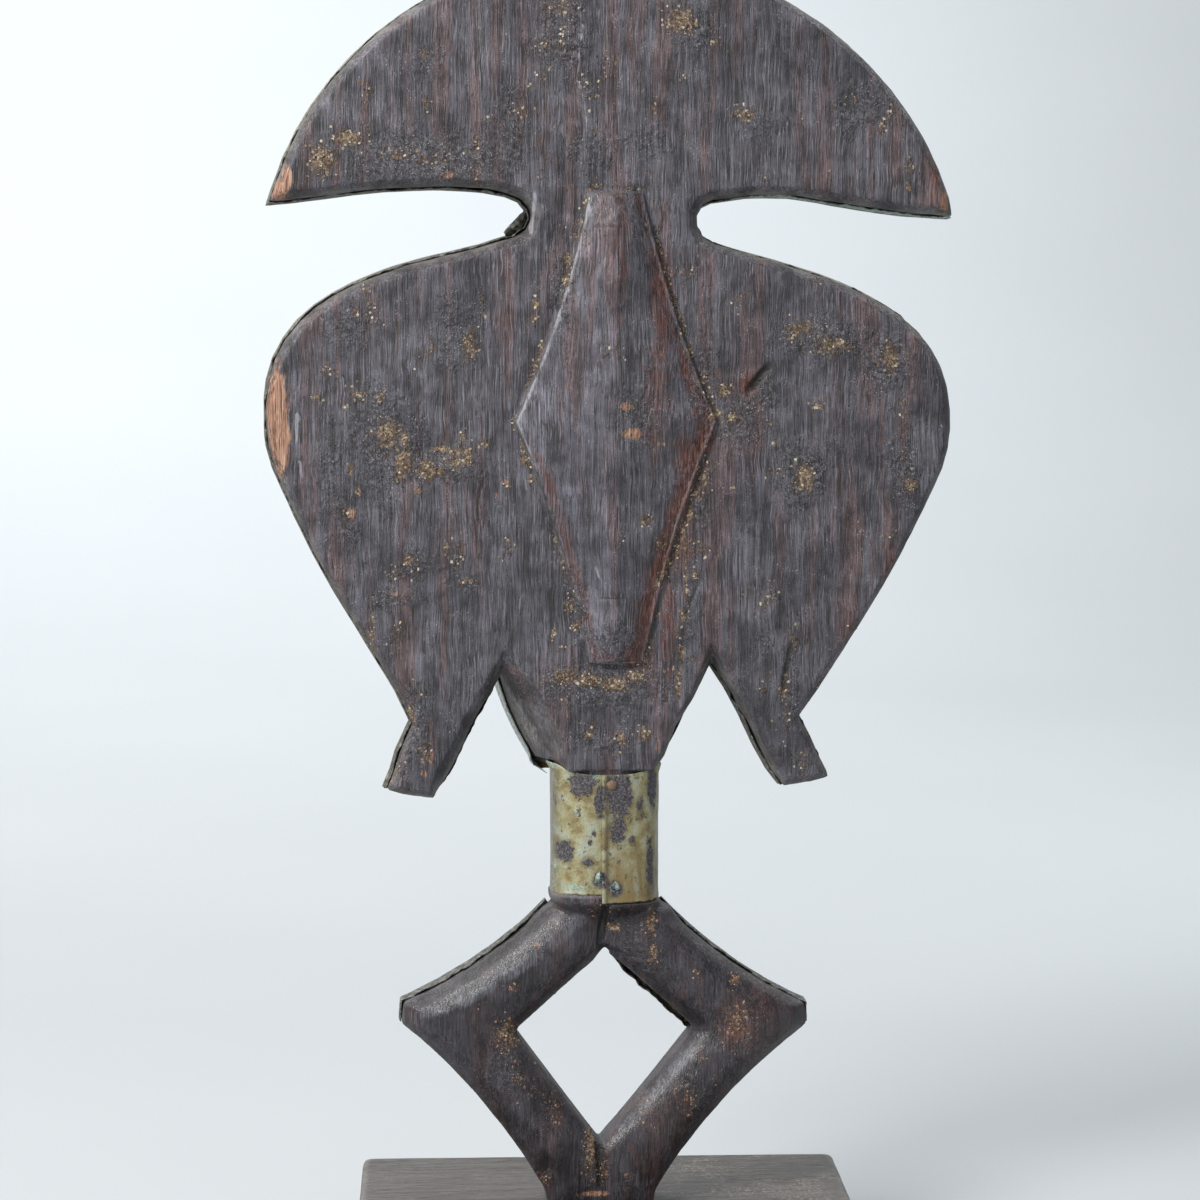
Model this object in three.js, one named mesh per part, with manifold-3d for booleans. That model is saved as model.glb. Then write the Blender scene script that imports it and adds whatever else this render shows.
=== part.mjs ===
// A reliquary guardian figure of equatorial Africa, carved in one from wood and standing on a wooden plinth.
// Its front is sheathed in sheet metal and its back is bare wood with a raised lozenge.
// Units are millimetres. +Z is up, the sheathed face looks along -Y and the bare back along +Y.
// The origin is under the middle of the whole. The figure's own heights are counted from its foot.
import * as THREE from "three";
import { mergeVertices } from "three/addons/utils/BufferGeometryUtils.js";
import Module from "manifold-3d";

const wasm = await Module();
wasm.setup();

// Plinth
const PLINTH = { width: 229, depth: 166, height: 30, ease: 2, turn: -2.6 };
const REST_GAP = 0.3;
// How far the figure and plinth stand to the left, so that the whole is centred over the origin
const CENTRING = 1;

// Depths of the carved block: the flat back, the front of the plank and the rim of the face
const BACK_Y = 21;
const FRONT_Y = -1;
const FACE_RIM_Y = -27;

// Crest: a broad arch cut off below by a shallow hollow curve
const CREST = { halfWidth: { left: 157, right: 160.6 }, springZ: 418, rise: 151 };
const ARCH_END_Z = 463;
// Where the arch meets the hollow underside on each side
const CREST_TIP = {
  left: [152.3, 456.2],
  right: [154.5, 455.2],
};
const CREST_UNDERSIDE = {
  left: [
    [134, 458.5],
    [112, 461.7],
    [90, 463.7],
    [70, 464.3],
    [56, 463.4],
  ],
  right: [
    [133, 456.3],
    [110, 459.2],
    [82, 463],
    [62, 462.8],
  ],
};
const NOTCH = {
  left: [
    [46.5, 461.8],
    [40.2, 459.4],
    [37, 455.4],
    [36.6, 450.6],
    [38.4, 445.8],
    [43.2, 442.9],
  ],
  right: [
    [46.4, 460.4],
    [41.4, 458],
    [39, 453.8],
    [39.2, 448.8],
    [41.6, 444.2],
    [46.2, 441.3],
  ],
};

// Side panel, from the notch round the shoulder to the waist above the pendant
const PANEL = [
  [59, 437.6],
  [79, 432.4],
  [101, 425.6],
  [121, 416.8],
  [138.3, 404.5],
  [150.2, 387],
  [154.6, 366],
  [153, 346],
  [144.6, 325],
  [127.6, 291],
  [107, 257],
  [95.6, 238.6],
];
const PENDANT_OUTER = {
  left: [
    [89, 225.4],
    [95.2, 212.5],
    [98, 203],
    [100.8, 196.6],
  ],
  right: [
    [87, 225.4],
    [93.4, 212.5],
    [97.6, 203],
    [100.8, 196.6],
  ],
};
const PENDANT_BOTTOM = [
  [93, 194.4],
  [80, 192.4],
];
const PENDANT_INNER = {
  left: [
    [74.6, 199.4],
    [67.4, 212],
    [60.4, 225.4],
    [53.2, 238.4],
  ],
  right: [
    [74.6, 199.4],
    [68, 212],
    [62, 225.4],
    [55, 238.4],
  ],
};
// Lower end of the plank between the pendants: the crotch, then a taper to the neck
const CROTCH = { left: [48.4, 247.6], right: [46.4, 251.2] };
const TAPER = {
  left: [
    [41, 232.6],
    [35.6, 220.6],
    [29.4, 208.6],
  ],
  right: [
    [38.8, 234.6],
    [30.8, 221.6],
    [26, 208.6],
  ],
};
const TAPER_END = [20, 200];

// How far the back arris stands in from the outline, and how deep that slope runs
const EDGE = { bevel: 3.6, drop: 6 };
const NOTCH_EDGE = { bevel: 4.4, drop: 9 };
const INNER_EDGE = { bevel: 6.2, drop: 9 };
const CROTCH_EDGE = { bevel: 5.4, drop: 9 };
const LEFT_FACET = { bevel: 11.4, drop: 20 };
const RIGHT_FACET = { bevel: 3.4, drop: 10 };

// The carver's hand: the crest and shoulders lean and sit off the middle, the left pendant hangs lower
const LEAN = 0.9;
const SHOULDER_LEAN = 1.1;
const PLANK_SHIFT = -1;
const PENDANT_SKEW = 1.8;
const KNEE_SKEW = 1.6;

// Raised lozenge on the back
const RELIEF = { x: -2.8, topZ: 463, wideZ: 361, endZ: 252, top: 12, wide: 45, end: 12, bow: 3.2 };
const RELIEF_EDGE = 3;
const RELIEF_RIDGE = 7.2;

// Face: an oval block whose front is dished, under its sheet
const FACE = { x: 3, z: 322, halfWidth: 58, halfHeight: 137, dish: 8 };
const FACE_STEPS = 48;
// How far the cutting shapes reach before and behind the plank
const CURTAIN_REACH = 60;
const NOSE = { topZ: 352, baseZ: 306, topWidth: 7, baseWidth: 19, rise: 9 };
const EYE = { radius: 10, x: 25, z: 346, rise: 5 };
const MOUTH = { width: 26, height: 7, z: 272, rise: 3.4 };

// Neck and its collar
const NECK = { x: 0.8, halfWidth: 23.6, halfDepth: 20, roundness: 2.8 };
const NECK_STEPS = 40;
const NECK_TOP_Z = 222;
// Rings of the neck below the collar: how far each is drawn in, and how far down it lies
const NECK_DRAWN_IN = [
  { by: 12, down: 18 },
  { by: 4, down: 7 },
  { by: 0, down: 0 },
];
const COLLAR = { bottomStart: 146.8, bottomEnd: 142.4, lapStart: 17, lapEnd: -362.6, rise: 40 };
// The collar's upper edge at the sides' height, and how much it rises at the back, the sides and the left
const COLLAR_TOP = { z: 198.6, back: 1.6, sides: 5.6, left: 2 };
const SEAT = { reach: 14, clear: 0.4 };

// Open lozenge body: outer and inner corners of the left half, in pairs
const BODY = {
  shoulder: [24, 141.8],
  neckIn: [1, 117.4],
  knee: [92.8, 93.2],
  kneeLow: [93.4, 83.8],
  kneeIn: [41.2, 81.3],
  ankle: [25.2, 7],
  ankleIn: [0.6, 27.6],
  upperSag: 4.2,
  lowerSag: 4.4,
};
const BODY_DRIFT = { top: 0.7, foot: 3.4 };
const LIMB = { wall: 7, high: 16.5 };
const FOOT = { wall: 12.5, high: 15 };

// Sheet metal
const SHEET = 0.6;
const GAP = 0.3;
const PLANK_LIP = 8;
const FACE_LIP = 9;
const SHEET_SPLIT_Z = 452;
const SHEET_STEP = { x: 66, z: 447 };

// Collar tacks: distance to the side of the collar's middle, height, sides of the head
const TACKS = [
  { name: "collar_tack_top", x: -0.9, z: 196.6, sides: 10, radius: 2.4 },
  { name: "collar_tack_left", x: 4.6, z: 154.2, sides: 3, radius: 2.9 },
  { name: "collar_tack_right", x: -2.4, z: 149.6, sides: 3, radius: 2.9 },
];
const TACK = { head: 1.1, shank: 0.7, length: 7, hole: 1 };

const rad = THREE.MathUtils.degToRad;
const lerp = THREE.MathUtils.lerp;
const clamp = THREE.MathUtils.clamp;

// A closed surface as a solid for joining and cutting, turned so that its faces point outwards.
function solidOf(geometry) {
  const bare = geometry.clone();
  for (const name of Object.keys(bare.attributes)) {
    if (name !== "position") bare.deleteAttribute(name);
  }
  const merged = mergeVertices(bare, 1e-4);
  const triVerts = new Uint32Array(merged.index.array);
  const vertProperties = merged.attributes.position.array;
  const made = new wasm.Manifold(new wasm.Mesh({ numProp: 3, vertProperties, triVerts }));
  if (made.volume() > 0) return made;
  triVerts.reverse();
  return new wasm.Manifold(new wasm.Mesh({ numProp: 3, vertProperties, triVerts }));
}

function geometryOf(solid) {
  const mesh = solid.getMesh();
  const geometry = new THREE.BufferGeometry();
  geometry.setAttribute("position", new THREE.BufferAttribute(mesh.vertProperties, mesh.numProp));
  geometry.setIndex(new THREE.BufferAttribute(mesh.triVerts, 1));
  geometry.computeVertexNormals();
  return geometry;
}

function bodyOf(vertices, triangles) {
  const geometry = new THREE.BufferGeometry().setFromPoints(vertices);
  geometry.setIndex(triangles.flat());
  return solidOf(geometry);
}

// Triangles that close a flat ring, in the ring's own direction.
function capOf(ring, flat) {
  const outline = ring.map(flat);
  const whole = Math.sign(THREE.ShapeUtils.area(outline));
  return THREE.ShapeUtils.triangulateShape(outline, []).map((face) => {
    const turned = Math.sign(THREE.ShapeUtils.area(face.map((i) => outline[i])));
    return turned === whole ? face : [...face].reverse();
  });
}

// The solid inside a stack of rings with equal numbers of points. A closed stack returns to its first ring.
function stackOf(rings, { closed = false, flat = (p) => new THREE.Vector2(p.x, p.z) } = {}) {
  const count = rings[0].length;
  const triangles = [];
  const spans = closed ? rings.length : rings.length - 1;
  for (let i = 0; i < spans; i++) {
    const here = i * count;
    const next = ((i + 1) % rings.length) * count;
    for (let j = 0; j < count; j++) {
      const k = (j + 1) % count;
      triangles.push([here + j, here + k, next + k], [here + j, next + k, next + j]);
    }
  }
  if (!closed) {
    const last = (rings.length - 1) * count;
    for (const [a, b, c] of capOf(rings[0], flat)) triangles.push([a, c, b]);
    for (const [a, b, c] of capOf(rings.at(-1), flat)) triangles.push([last + a, last + b, last + c]);
  }
  return bodyOf(rings.flat(), triangles);
}

// Points of a smooth curve through a few named ones, without its first point.
function smooth(points, divisions) {
  const through = points.map(([x, z]) => new THREE.Vector3(x, 0, z));
  const curve = new THREE.CatmullRomCurve3(through, false, "centripetal");
  return curve
    .getPoints(divisions)
    .slice(1)
    .map((p) => [p.x, p.z]);
}

// The carver's departures from symmetry. side is 1 on +X and -1 on -X.
function byHand([x, z], side) {
  const lean = z > 452 ? LEAN : SHOULDER_LEAN * clamp((z - 300) / 120, 0, 1);
  const hang = PENDANT_SKEW * clamp((240 - z) / 30, 0, 1) * clamp((x - 50) / 20, 0, 1);
  const shift = PLANK_SHIFT * clamp((z - 220) / 60, 0, 1);
  return [side * x + shift, z + side * (x * Math.sin(rad(lean)) - hang)];
}

// One side of the plank's outline from the crown to the neck, as points that know their edge slope.
function halfOutline(side) {
  const hand = side > 0 ? "left" : "right";
  const arch = [];
  const last = Math.asin((ARCH_END_Z - CREST.springZ) / CREST.rise);
  for (let i = 0; i <= 14; i++) {
    const angle = lerp(Math.PI / 2, last, i / 14);
    arch.push([CREST.halfWidth[hand] * Math.cos(angle), CREST.springZ + CREST.rise * Math.sin(angle)]);
  }
  const runs = [
    [EDGE, arch],
    [EDGE, [CREST_TIP[hand]]],
    [EDGE, smooth([CREST_TIP[hand], ...CREST_UNDERSIDE[hand]], 8)],
    [NOTCH_EDGE, NOTCH[hand]],
    [EDGE, smooth([NOTCH[hand].at(-1), ...PANEL], 26)],
    [EDGE, [...PENDANT_OUTER[hand], ...PENDANT_BOTTOM]],
    [INNER_EDGE, PENDANT_INNER[hand]],
    [CROTCH_EDGE, [CROTCH[hand]]],
    [side > 0 ? LEFT_FACET : RIGHT_FACET, TAPER[hand]],
    [RIGHT_FACET, [TAPER_END]],
  ];
  return runs.flatMap(([edge, points]) =>
    points.map((point) => {
      const [x, z] = byHand(point, side);
      return { x, z, ...edge };
    }),
  );
}

// The whole outline once round: down the left side and up the right side.
function plankOutline() {
  const left = halfOutline(1);
  const right = halfOutline(-1).reverse();
  right.pop();
  return [...left, ...right];
}

// Unit directions out of an outline at each point, lengthened at corners so that an offset keeps its distance.
function outwards(outline) {
  const count = outline.length;
  return outline.map((p, i) => {
    const before = outline[(i + count - 1) % count];
    const after = outline[(i + 1) % count];
    const a = new THREE.Vector2(p.x - before.x, p.z - before.z).normalize();
    const b = new THREE.Vector2(after.x - p.x, after.z - p.z).normalize();
    const mid = new THREE.Vector2(-(a.y + b.y), a.x + b.x).normalize();
    const square = new THREE.Vector2(-a.y, a.x);
    return mid.multiplyScalar(1 / Math.max(mid.dot(square), 0.4));
  });
}

// A copy of an outline moved out by grow, laid at depth y. Both may depend on the point.
function ringAt(outline, grow, y) {
  const out = outwards(outline);
  return outline.map((p, i) => {
    const by = grow(p);
    return new THREE.Vector3(p.x + out[i].x * by, y(p), p.z + out[i].y * by);
  });
}

function plank(outline) {
  return stackOf([
    ringAt(outline, (p) => -p.bevel, () => BACK_Y),
    ringAt(outline, (p) => -p.bevel * 0.42, (p) => BACK_Y - p.drop * 0.38),
    ringAt(outline, () => 0, (p) => BACK_Y - p.drop),
    ringAt(outline, () => 0, () => FRONT_Y),
  ]);
}

// The sheet over the whole plank before it is cut into crest and panels: a front skin with a lip turned back.
function plankTray(outline) {
  const outer = GAP + SHEET;
  return stackOf([
    ringAt(outline, () => outer, () => FRONT_Y - outer),
    ringAt(outline, () => outer, () => FRONT_Y + PLANK_LIP),
    ringAt(outline, () => GAP, () => FRONT_Y + PLANK_LIP),
    ringAt(outline, () => GAP, () => FRONT_Y - GAP),
  ]);
}

// The face's oval moved out by grow, laid at depth y; share draws it in towards the middle.
function faceRing(grow, y, share = 1) {
  const ring = [];
  for (let i = 0; i < FACE_STEPS; i++) {
    const angle = (i / FACE_STEPS) * 2 * Math.PI;
    const x = FACE.x + (FACE.halfWidth + grow) * share * Math.cos(angle);
    ring.push(new THREE.Vector3(x, y, FACE.z + (FACE.halfHeight + grow) * share * Math.sin(angle)));
  }
  return ring;
}

// Depth of the dished front at a share of the way from the middle to the rim.
function dishY(share) {
  return FACE_RIM_Y + FACE.dish * (1 - share * share);
}

const DISH_SHARES = [0.94, 0.78, 0.58, 0.34, 0.08];

function faceBlock() {
  return stackOf([
    faceRing(-6, 8),
    faceRing(-3.5, FRONT_Y),
    faceRing(0, FACE_RIM_Y + 6),
    faceRing(0, FACE_RIM_Y + 1.6),
    faceRing(-1.4, FACE_RIM_Y),
    ...DISH_SHARES.map((share) => faceRing(0, dishY(share), share)),
  ]);
}

function oval(radiusX, rise, radiusZ, x, z, base) {
  const geometry = new THREE.SphereGeometry(1, 16, 8);
  geometry.scale(radiusX, rise, radiusZ);
  geometry.translate(x, base, z);
  return solidOf(geometry);
}

// The nose: a wedge that widens and rises downwards.
function nose(base) {
  const back = base + 2;
  const half = { top: NOSE.topWidth / 2, low: NOSE.baseWidth / 2 };
  const rings = [
    { z: NOSE.topZ, half: half.top, rise: 1.2 },
    { z: NOSE.baseZ + 6, half: half.low, rise: NOSE.rise },
    { z: NOSE.baseZ, half: half.low * 0.9, rise: NOSE.rise * 0.55 },
  ].map(({ z, half: reach, rise }) =>
    [
      [-reach, back],
      [-reach, base - rise * 0.25],
      [-reach * 0.3, base - rise],
      [reach * 0.3, base - rise],
      [reach, base - rise * 0.25],
      [reach, back],
    ].map(([x, y]) => new THREE.Vector3(FACE.x + x, y, z)),
  );
  return stackOf(rings, { flat: (p) => new THREE.Vector2(p.x, p.y) });
}

// The face's sheet: a thin skin over the dish, folded back round the rim, with its features raised from it.
function faceSheet() {
  const outer = GAP + SHEET;
  const lipY = FACE_RIM_Y + FACE_LIP;
  const skin = stackOf([
    ...[...DISH_SHARES].reverse().map((share) => faceRing(0, dishY(share) - outer, share)),
    faceRing(-1, FACE_RIM_Y - outer),
    faceRing(outer, FACE_RIM_Y + 1),
    faceRing(outer, lipY),
    faceRing(GAP, lipY),
    faceRing(GAP, FACE_RIM_Y + 1),
    faceRing(-1.2, FACE_RIM_Y - GAP),
    ...DISH_SHARES.map((share) => faceRing(0, dishY(share) - GAP, share)),
  ]);
  const at = (z) => dishY(Math.abs(z - FACE.z) / FACE.halfHeight) - outer;
  const eyes = [-1, 1].map((side) => {
    const base = dishY(Math.hypot(EYE.x / FACE.halfWidth, (EYE.z - FACE.z) / FACE.halfHeight)) - outer;
    return oval(EYE.radius, EYE.rise, EYE.radius, FACE.x + side * EYE.x, EYE.z, base);
  });
  const mouth = oval(MOUTH.width / 2, MOUTH.rise, MOUTH.height / 2, FACE.x, MOUTH.z, at(MOUTH.z));
  const raised = [...eyes, mouth, nose(at(NOSE.baseZ))].reduce((all, one) => all.add(one));
  const behind = stackOf([
    faceRing(0.2, 4),
    faceRing(0.2, FACE_RIM_Y + 1),
    faceRing(-1.3, FACE_RIM_Y - GAP),
    ...DISH_SHARES.map((share) => faceRing(0, dishY(share) - GAP, share)),
  ]);
  return skin.add(raised.subtract(behind));
}

// A block as deep as the plank and more, over an outline in the XZ plane.
function curtain(points) {
  const ring = (y) => points.map(([x, z]) => new THREE.Vector3(x, y, z));
  return stackOf([ring(CURTAIN_REACH), ring(-CURTAIN_REACH)]);
}

function faceCutter() {
  return stackOf([faceRing(GAP + 2 * SHEET, 40), faceRing(GAP + 2 * SHEET, -60)]);
}

// A point of the neck's rounded section, grown outwards; turn is counted from the back towards -X.
function neckPoint(turn, grow, z) {
  const bend = 2 / NECK.roundness;
  const s = Math.sin(rad(turn));
  const c = Math.cos(rad(turn));
  const x = -(NECK.halfWidth + grow) * Math.sign(s) * Math.abs(s) ** bend;
  const y = (NECK.halfDepth + grow) * Math.sign(c) * Math.abs(c) ** bend;
  return new THREE.Vector3(NECK.x + x, y, z);
}

// Height of the collar's upper edge: it dips at the middle of the back and rises at the sides.
function collarTop(turn) {
  const s = Math.sin(rad(turn));
  const left = Math.max(-s, 0);
  const { z, back, sides } = COLLAR_TOP;
  return z + back * Math.cos(rad(turn)) + sides * s * s + COLLAR_TOP.left * left ** 4;
}

function neckRing(grow, height) {
  const ring = [];
  for (let i = 0; i < NECK_STEPS; i++) {
    const turn = (i / NECK_STEPS) * 360;
    ring.push(neckPoint(turn, grow, height(turn)));
  }
  return ring;
}

const crossNeck = { flat: (p) => new THREE.Vector2(p.x, p.y) };

// The neck, drawn in below where the limbs take over.
function neckColumn(grow = 0) {
  const low = COLLAR.bottomEnd - SEAT.clear;
  return stackOf(
    [
      ...NECK_DRAWN_IN.map(({ by, down }) => neckRing(grow - by, () => low - down)),
      neckRing(grow, () => NECK_TOP_Z),
    ],
    crossNeck,
  );
}

// The room kept free round the neck for the collar.
function collarSeat() {
  const low = COLLAR.bottomEnd - SEAT.clear;
  const high = (turn) => collarTop(turn) + SEAT.clear;
  return stackOf(
    [neckRing(SEAT.reach, () => low), neckRing(SEAT.reach, high), neckRing(-4, high)],
    crossNeck,
  );
}

// The collar: a strip wound once round the neck, its end rising over its start at the back.
function collar() {
  const steps = 58;
  const sections = [];
  for (let i = 0; i <= steps; i++) {
    const share = i / steps;
    const turn = lerp(COLLAR.lapStart, COLLAR.lapEnd, share);
    const left = (turn - COLLAR.lapEnd) / COLLAR.rise;
    const lift = GAP + (GAP + SHEET) * (1 - clamp(left - 0.5, 0, 1));
    const low = lerp(COLLAR.bottomStart, COLLAR.bottomEnd, share);
    const high = collarTop(turn);
    sections.push([
      neckPoint(turn, lift, low),
      neckPoint(turn, lift + SHEET, low),
      neckPoint(turn, lift + SHEET, high),
      neckPoint(turn, lift, high),
    ]);
  }
  const across = { flat: (p) => new THREE.Vector2(Math.abs(p.y), p.z) };
  return stackOf(sections, across);
}

// A point of the raised lozenge's half width at height z.
function reliefHalfWidth(z) {
  const upper = z > RELIEF.wideZ;
  const end = upper ? RELIEF.topZ : RELIEF.endZ;
  const share = (z - RELIEF.wideZ) / (end - RELIEF.wideZ);
  const bow = RELIEF.bow * 4 * share * (1 - share);
  return lerp(RELIEF.wide, upper ? RELIEF.top : RELIEF.end, share) - bow;
}

// The raised lozenge: two slopes up to a soft ridge, with a steep edge all round.
function relief() {
  const heights = [];
  for (let i = 0; i <= 7; i++) heights.push(lerp(RELIEF.topZ, RELIEF.wideZ, i / 7));
  for (let i = 1; i <= 7; i++) heights.push(lerp(RELIEF.wideZ, RELIEF.endZ, i / 7));
  const rings = heights.map((z, i) => {
    const half = reliefHalfWidth(z);
    const share = i === 0 || i === heights.length - 1 ? 0.5 : 1;
    return [
      [-half - 2, -2],
      [-half, RELIEF_EDGE * share],
      [-half * 0.4, lerp(RELIEF_EDGE, RELIEF_RIDGE, 0.7) * share],
      [half * 0.08, RELIEF_RIDGE * share],
      [half * 0.5, lerp(RELIEF_EDGE, RELIEF_RIDGE, 0.6) * share],
      [half, RELIEF_EDGE * share],
      [half + 2, -2],
    ].map(([x, y]) => new THREE.Vector3(RELIEF.x + x, BACK_Y + y, z));
  });
  return stackOf(rings, crossNeck);
}

// Stations round one half of the lozenge: an outer and an inner point, the edge's half thickness and the ridge's.
function limbStations() {
  const { shoulder, neckIn, knee, kneeLow, kneeIn, ankle, ankleIn, upperSag, lowerSag } = BODY;
  const at = (a, b, share, sag = 0) => {
    const square = [b[1] - a[1], a[0] - b[0]];
    const inward = (sag * 4 * share * (1 - share)) / Math.hypot(...square);
    return [lerp(a[0], b[0], share) + square[0] * inward, lerp(a[1], b[1], share) + square[1] * inward];
  };
  const stations = [{ outer: [0, 147], inner: [0, neckIn[1]], wall: 8, high: 12.5 }];
  for (const share of [0.06, 0.22, 0.4, 0.58, 0.76, 0.92]) {
    stations.push({ outer: at(shoulder, knee, share, upperSag), inner: at(neckIn, kneeIn, share), ...LIMB });
  }
  stations.push({ outer: knee, inner: kneeIn, ...LIMB });
  stations.push({ outer: kneeLow, inner: at(kneeIn, ankleIn, 0.02), ...LIMB });
  for (const share of [0.12, 0.28, 0.46, 0.64, 0.82]) {
    const wall = lerp(LIMB.wall, FOOT.wall, share ** 3);
    stations.push({
      outer: at(kneeLow, ankle, share, lowerSag),
      inner: at(kneeIn, ankleIn, share),
      wall,
      high: LIMB.high,
    });
  }
  stations.push({ outer: ankle, inner: at(kneeIn, ankleIn, 0.95), ...FOOT });
  stations.push({ outer: [24, 0], inner: [0.5, ankleIn[1]], ...FOOT });
  stations.push({ outer: [0, 0], inner: [0, ankleIn[1] - 1], wall: FOOT.wall, high: FOOT.high - 1.6 });
  return stations;
}

// Half section of a limb: share of the way from the outer to the inner edge, and share of the ridge's height.
const LIMB_PROFILE = [
  [0, 0],
  [0.13, 0.62],
  [0.34, 1],
  [0.6, 0.96],
  [0.86, 0.6],
  [1, 0],
];

// Section points of a limb at a station, back then front, grown outwards by grow.
function limbSection(station, side, grow = 0) {
  const drift = (z) => lerp(BODY_DRIFT.foot, BODY_DRIFT.top, clamp(z / 90, 0, 1));
  const skew = (x) => side * KNEE_SKEW * clamp((Math.abs(x) - 30) / 50, 0, 1);
  const [ox, oz] = [station.outer[0], station.outer[1] + skew(station.outer[0])];
  const [ix, iz] = station.inner;
  const width = Math.hypot(ox - ix, oz - iz);
  const half = LIMB_PROFILE.map(([share, up]) => [share, lerp(station.wall, station.high, up)]);
  const round = [...half, ...half.map(([share, y]) => [share, -y]).reverse()];
  const outline = round.map(([share, y]) => ({ x: share * width, z: y }));
  const out = outwards(outline);
  return outline.map((p, k) => {
    const share = (p.x + out[k].x * grow) / width;
    const z = lerp(oz, iz, share);
    return new THREE.Vector3(side * lerp(ox, ix, share) + drift(z), p.z + out[k].y * grow, z);
  });
}

function lozengeBody() {
  const half = limbStations();
  const left = half.map((station) => limbSection(station, 1));
  const right = half.slice(1, -1).map((station) => limbSection(station, -1));
  return stackOf([...left, ...right.reverse()], { closed: true });
}

// The sheet over one upper limb: it follows the front and turns back over both edges.
function limbSheet(side) {
  const stations = limbStations().slice(1, 9);
  const strip = [11, 10, 9, 8, 7, 6];
  const turnedBack = (section, grown) => {
    const edge = (k, y) => new THREE.Vector3(section[k].x, y, section[k].z);
    const front = strip.map((k) => section[k]);
    return [edge(11, grown), ...front, edge(6, -2)];
  };
  const sections = stations.map((station) => {
    const inside = turnedBack(limbSection(station, side, GAP), 5);
    const outside = turnedBack(limbSection(station, side, GAP + SHEET), 5);
    return [...outside, ...inside.reverse()];
  });
  const flat = (p) => new THREE.Vector2(p.z, p.y);
  return stackOf(sections, { flat });
}

function tackPlace({ x }) {
  const turn = -Math.asin((x - NECK.x) / NECK.halfWidth) / rad(1);
  return neckPoint(turn, 2 * (GAP + SHEET) + GAP, 0).y;
}

// A tack: a low head on a short shank that goes through the collar into the neck.
function tack({ sides, radius }) {
  const head = new THREE.CylinderGeometry(radius * 0.45, radius, TACK.head, sides);
  head.translate(0, TACK.head / 2, 0);
  const shank = new THREE.CylinderGeometry(TACK.shank, TACK.shank, TACK.length, 8);
  shank.translate(0, 0.2 - TACK.length / 2, 0);
  return solidOf(head).add(solidOf(shank));
}

function tackHole(place) {
  const hole = new THREE.CylinderGeometry(TACK.hole, TACK.hole, TACK.length + 6, 8);
  hole.translate(place.x, tackPlace(place) + 2 - TACK.length / 2, place.z);
  return solidOf(hole);
}

// The carved figure: every carved form joined, with the neck turned down for the collar.
function woodenFigure(outline) {
  const carved = [plank(outline), faceBlock(), relief(), lozengeBody()].reduce((all, one) => all.add(one));
  const necked = carved.subtract(collarSeat()).add(neckColumn());
  return TACKS.reduce((left, place) => left.subtract(tackHole(place)), necked);
}

// The plank's sheet cut into the crest's piece and the two panels' pieces, clear of the face and the neck.
function plankSheets(outline) {
  const tray = plankTray(outline).subtract(faceCutter());
  const above = curtain([
    [-200, SHEET_STEP.z],
    [-SHEET_STEP.x, SHEET_STEP.z],
    [-SHEET_STEP.x, SHEET_SPLIT_Z + GAP],
    [SHEET_STEP.x, SHEET_SPLIT_Z + GAP],
    [SHEET_STEP.x, SHEET_STEP.z],
    [200, SHEET_STEP.z],
    [200, 620],
    [-200, 620],
  ]);
  const panel = (side, [crotchX, crotchZ]) =>
    curtain([
      [FACE.x, crotchZ],
      [side * crotchX, crotchZ],
      [side * crotchX, 150],
      [side * 200, 150],
      [side * 200, SHEET_STEP.z - GAP],
      [side * (SHEET_STEP.x - GAP), SHEET_STEP.z - GAP],
      [side * (SHEET_STEP.x - GAP), SHEET_SPLIT_Z - GAP],
      [FACE.x, SHEET_SPLIT_Z - GAP],
    ]);
  return {
    crest: tray.intersect(above),
    left: tray.intersect(panel(1, CROTCH.left)),
    right: tray.intersect(panel(-1, CROTCH.right)),
  };
}

function plinthBlock() {
  const { width, depth, height, ease } = PLINTH;
  const ring = (grow, z) =>
    [
      [1, 1, 0],
      [1, -1, 1],
      [-1, -1, 0],
      [-1, 1, 1],
    ].flatMap(([sx, sy, turned]) => {
      const near = [sx * (width / 2 + grow - ease), sy * (depth / 2 + grow)];
      const far = [sx * (width / 2 + grow), sy * (depth / 2 + grow - ease)];
      const pair = turned ? [far, near] : [near, far];
      return pair.map(([x, y]) => new THREE.Vector3(x, y, z));
    });
  const corners = [ring(-1, 0), ring(0, 1), ring(0, height - ease), ring(-ease * 0.35, height - ease * 0.3)];
  return stackOf([...corners, ring(-ease, height)], crossNeck);
}

const finish = {
  wood: () => new THREE.MeshStandardMaterial({ color: 0x45403f, roughness: 0.62, metalness: 0 }),
  sheet: () => new THREE.MeshStandardMaterial({ color: 0x8d7a4a, roughness: 0.5, metalness: 0.8 }),
  collar: () => new THREE.MeshStandardMaterial({ color: 0x9c8a4c, roughness: 0.5, metalness: 0.7 }),
  tack: () => new THREE.MeshStandardMaterial({ color: 0x8fb5a8, roughness: 0.7, metalness: 0.3 }),
  plinth: () => new THREE.MeshStandardMaterial({ color: 0x6e6a66, roughness: 0.7, metalness: 0 }),
};

function named(name, solid, material) {
  const mesh = new THREE.Mesh(geometryOf(solid), material());
  mesh.name = name;
  return mesh;
}

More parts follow.
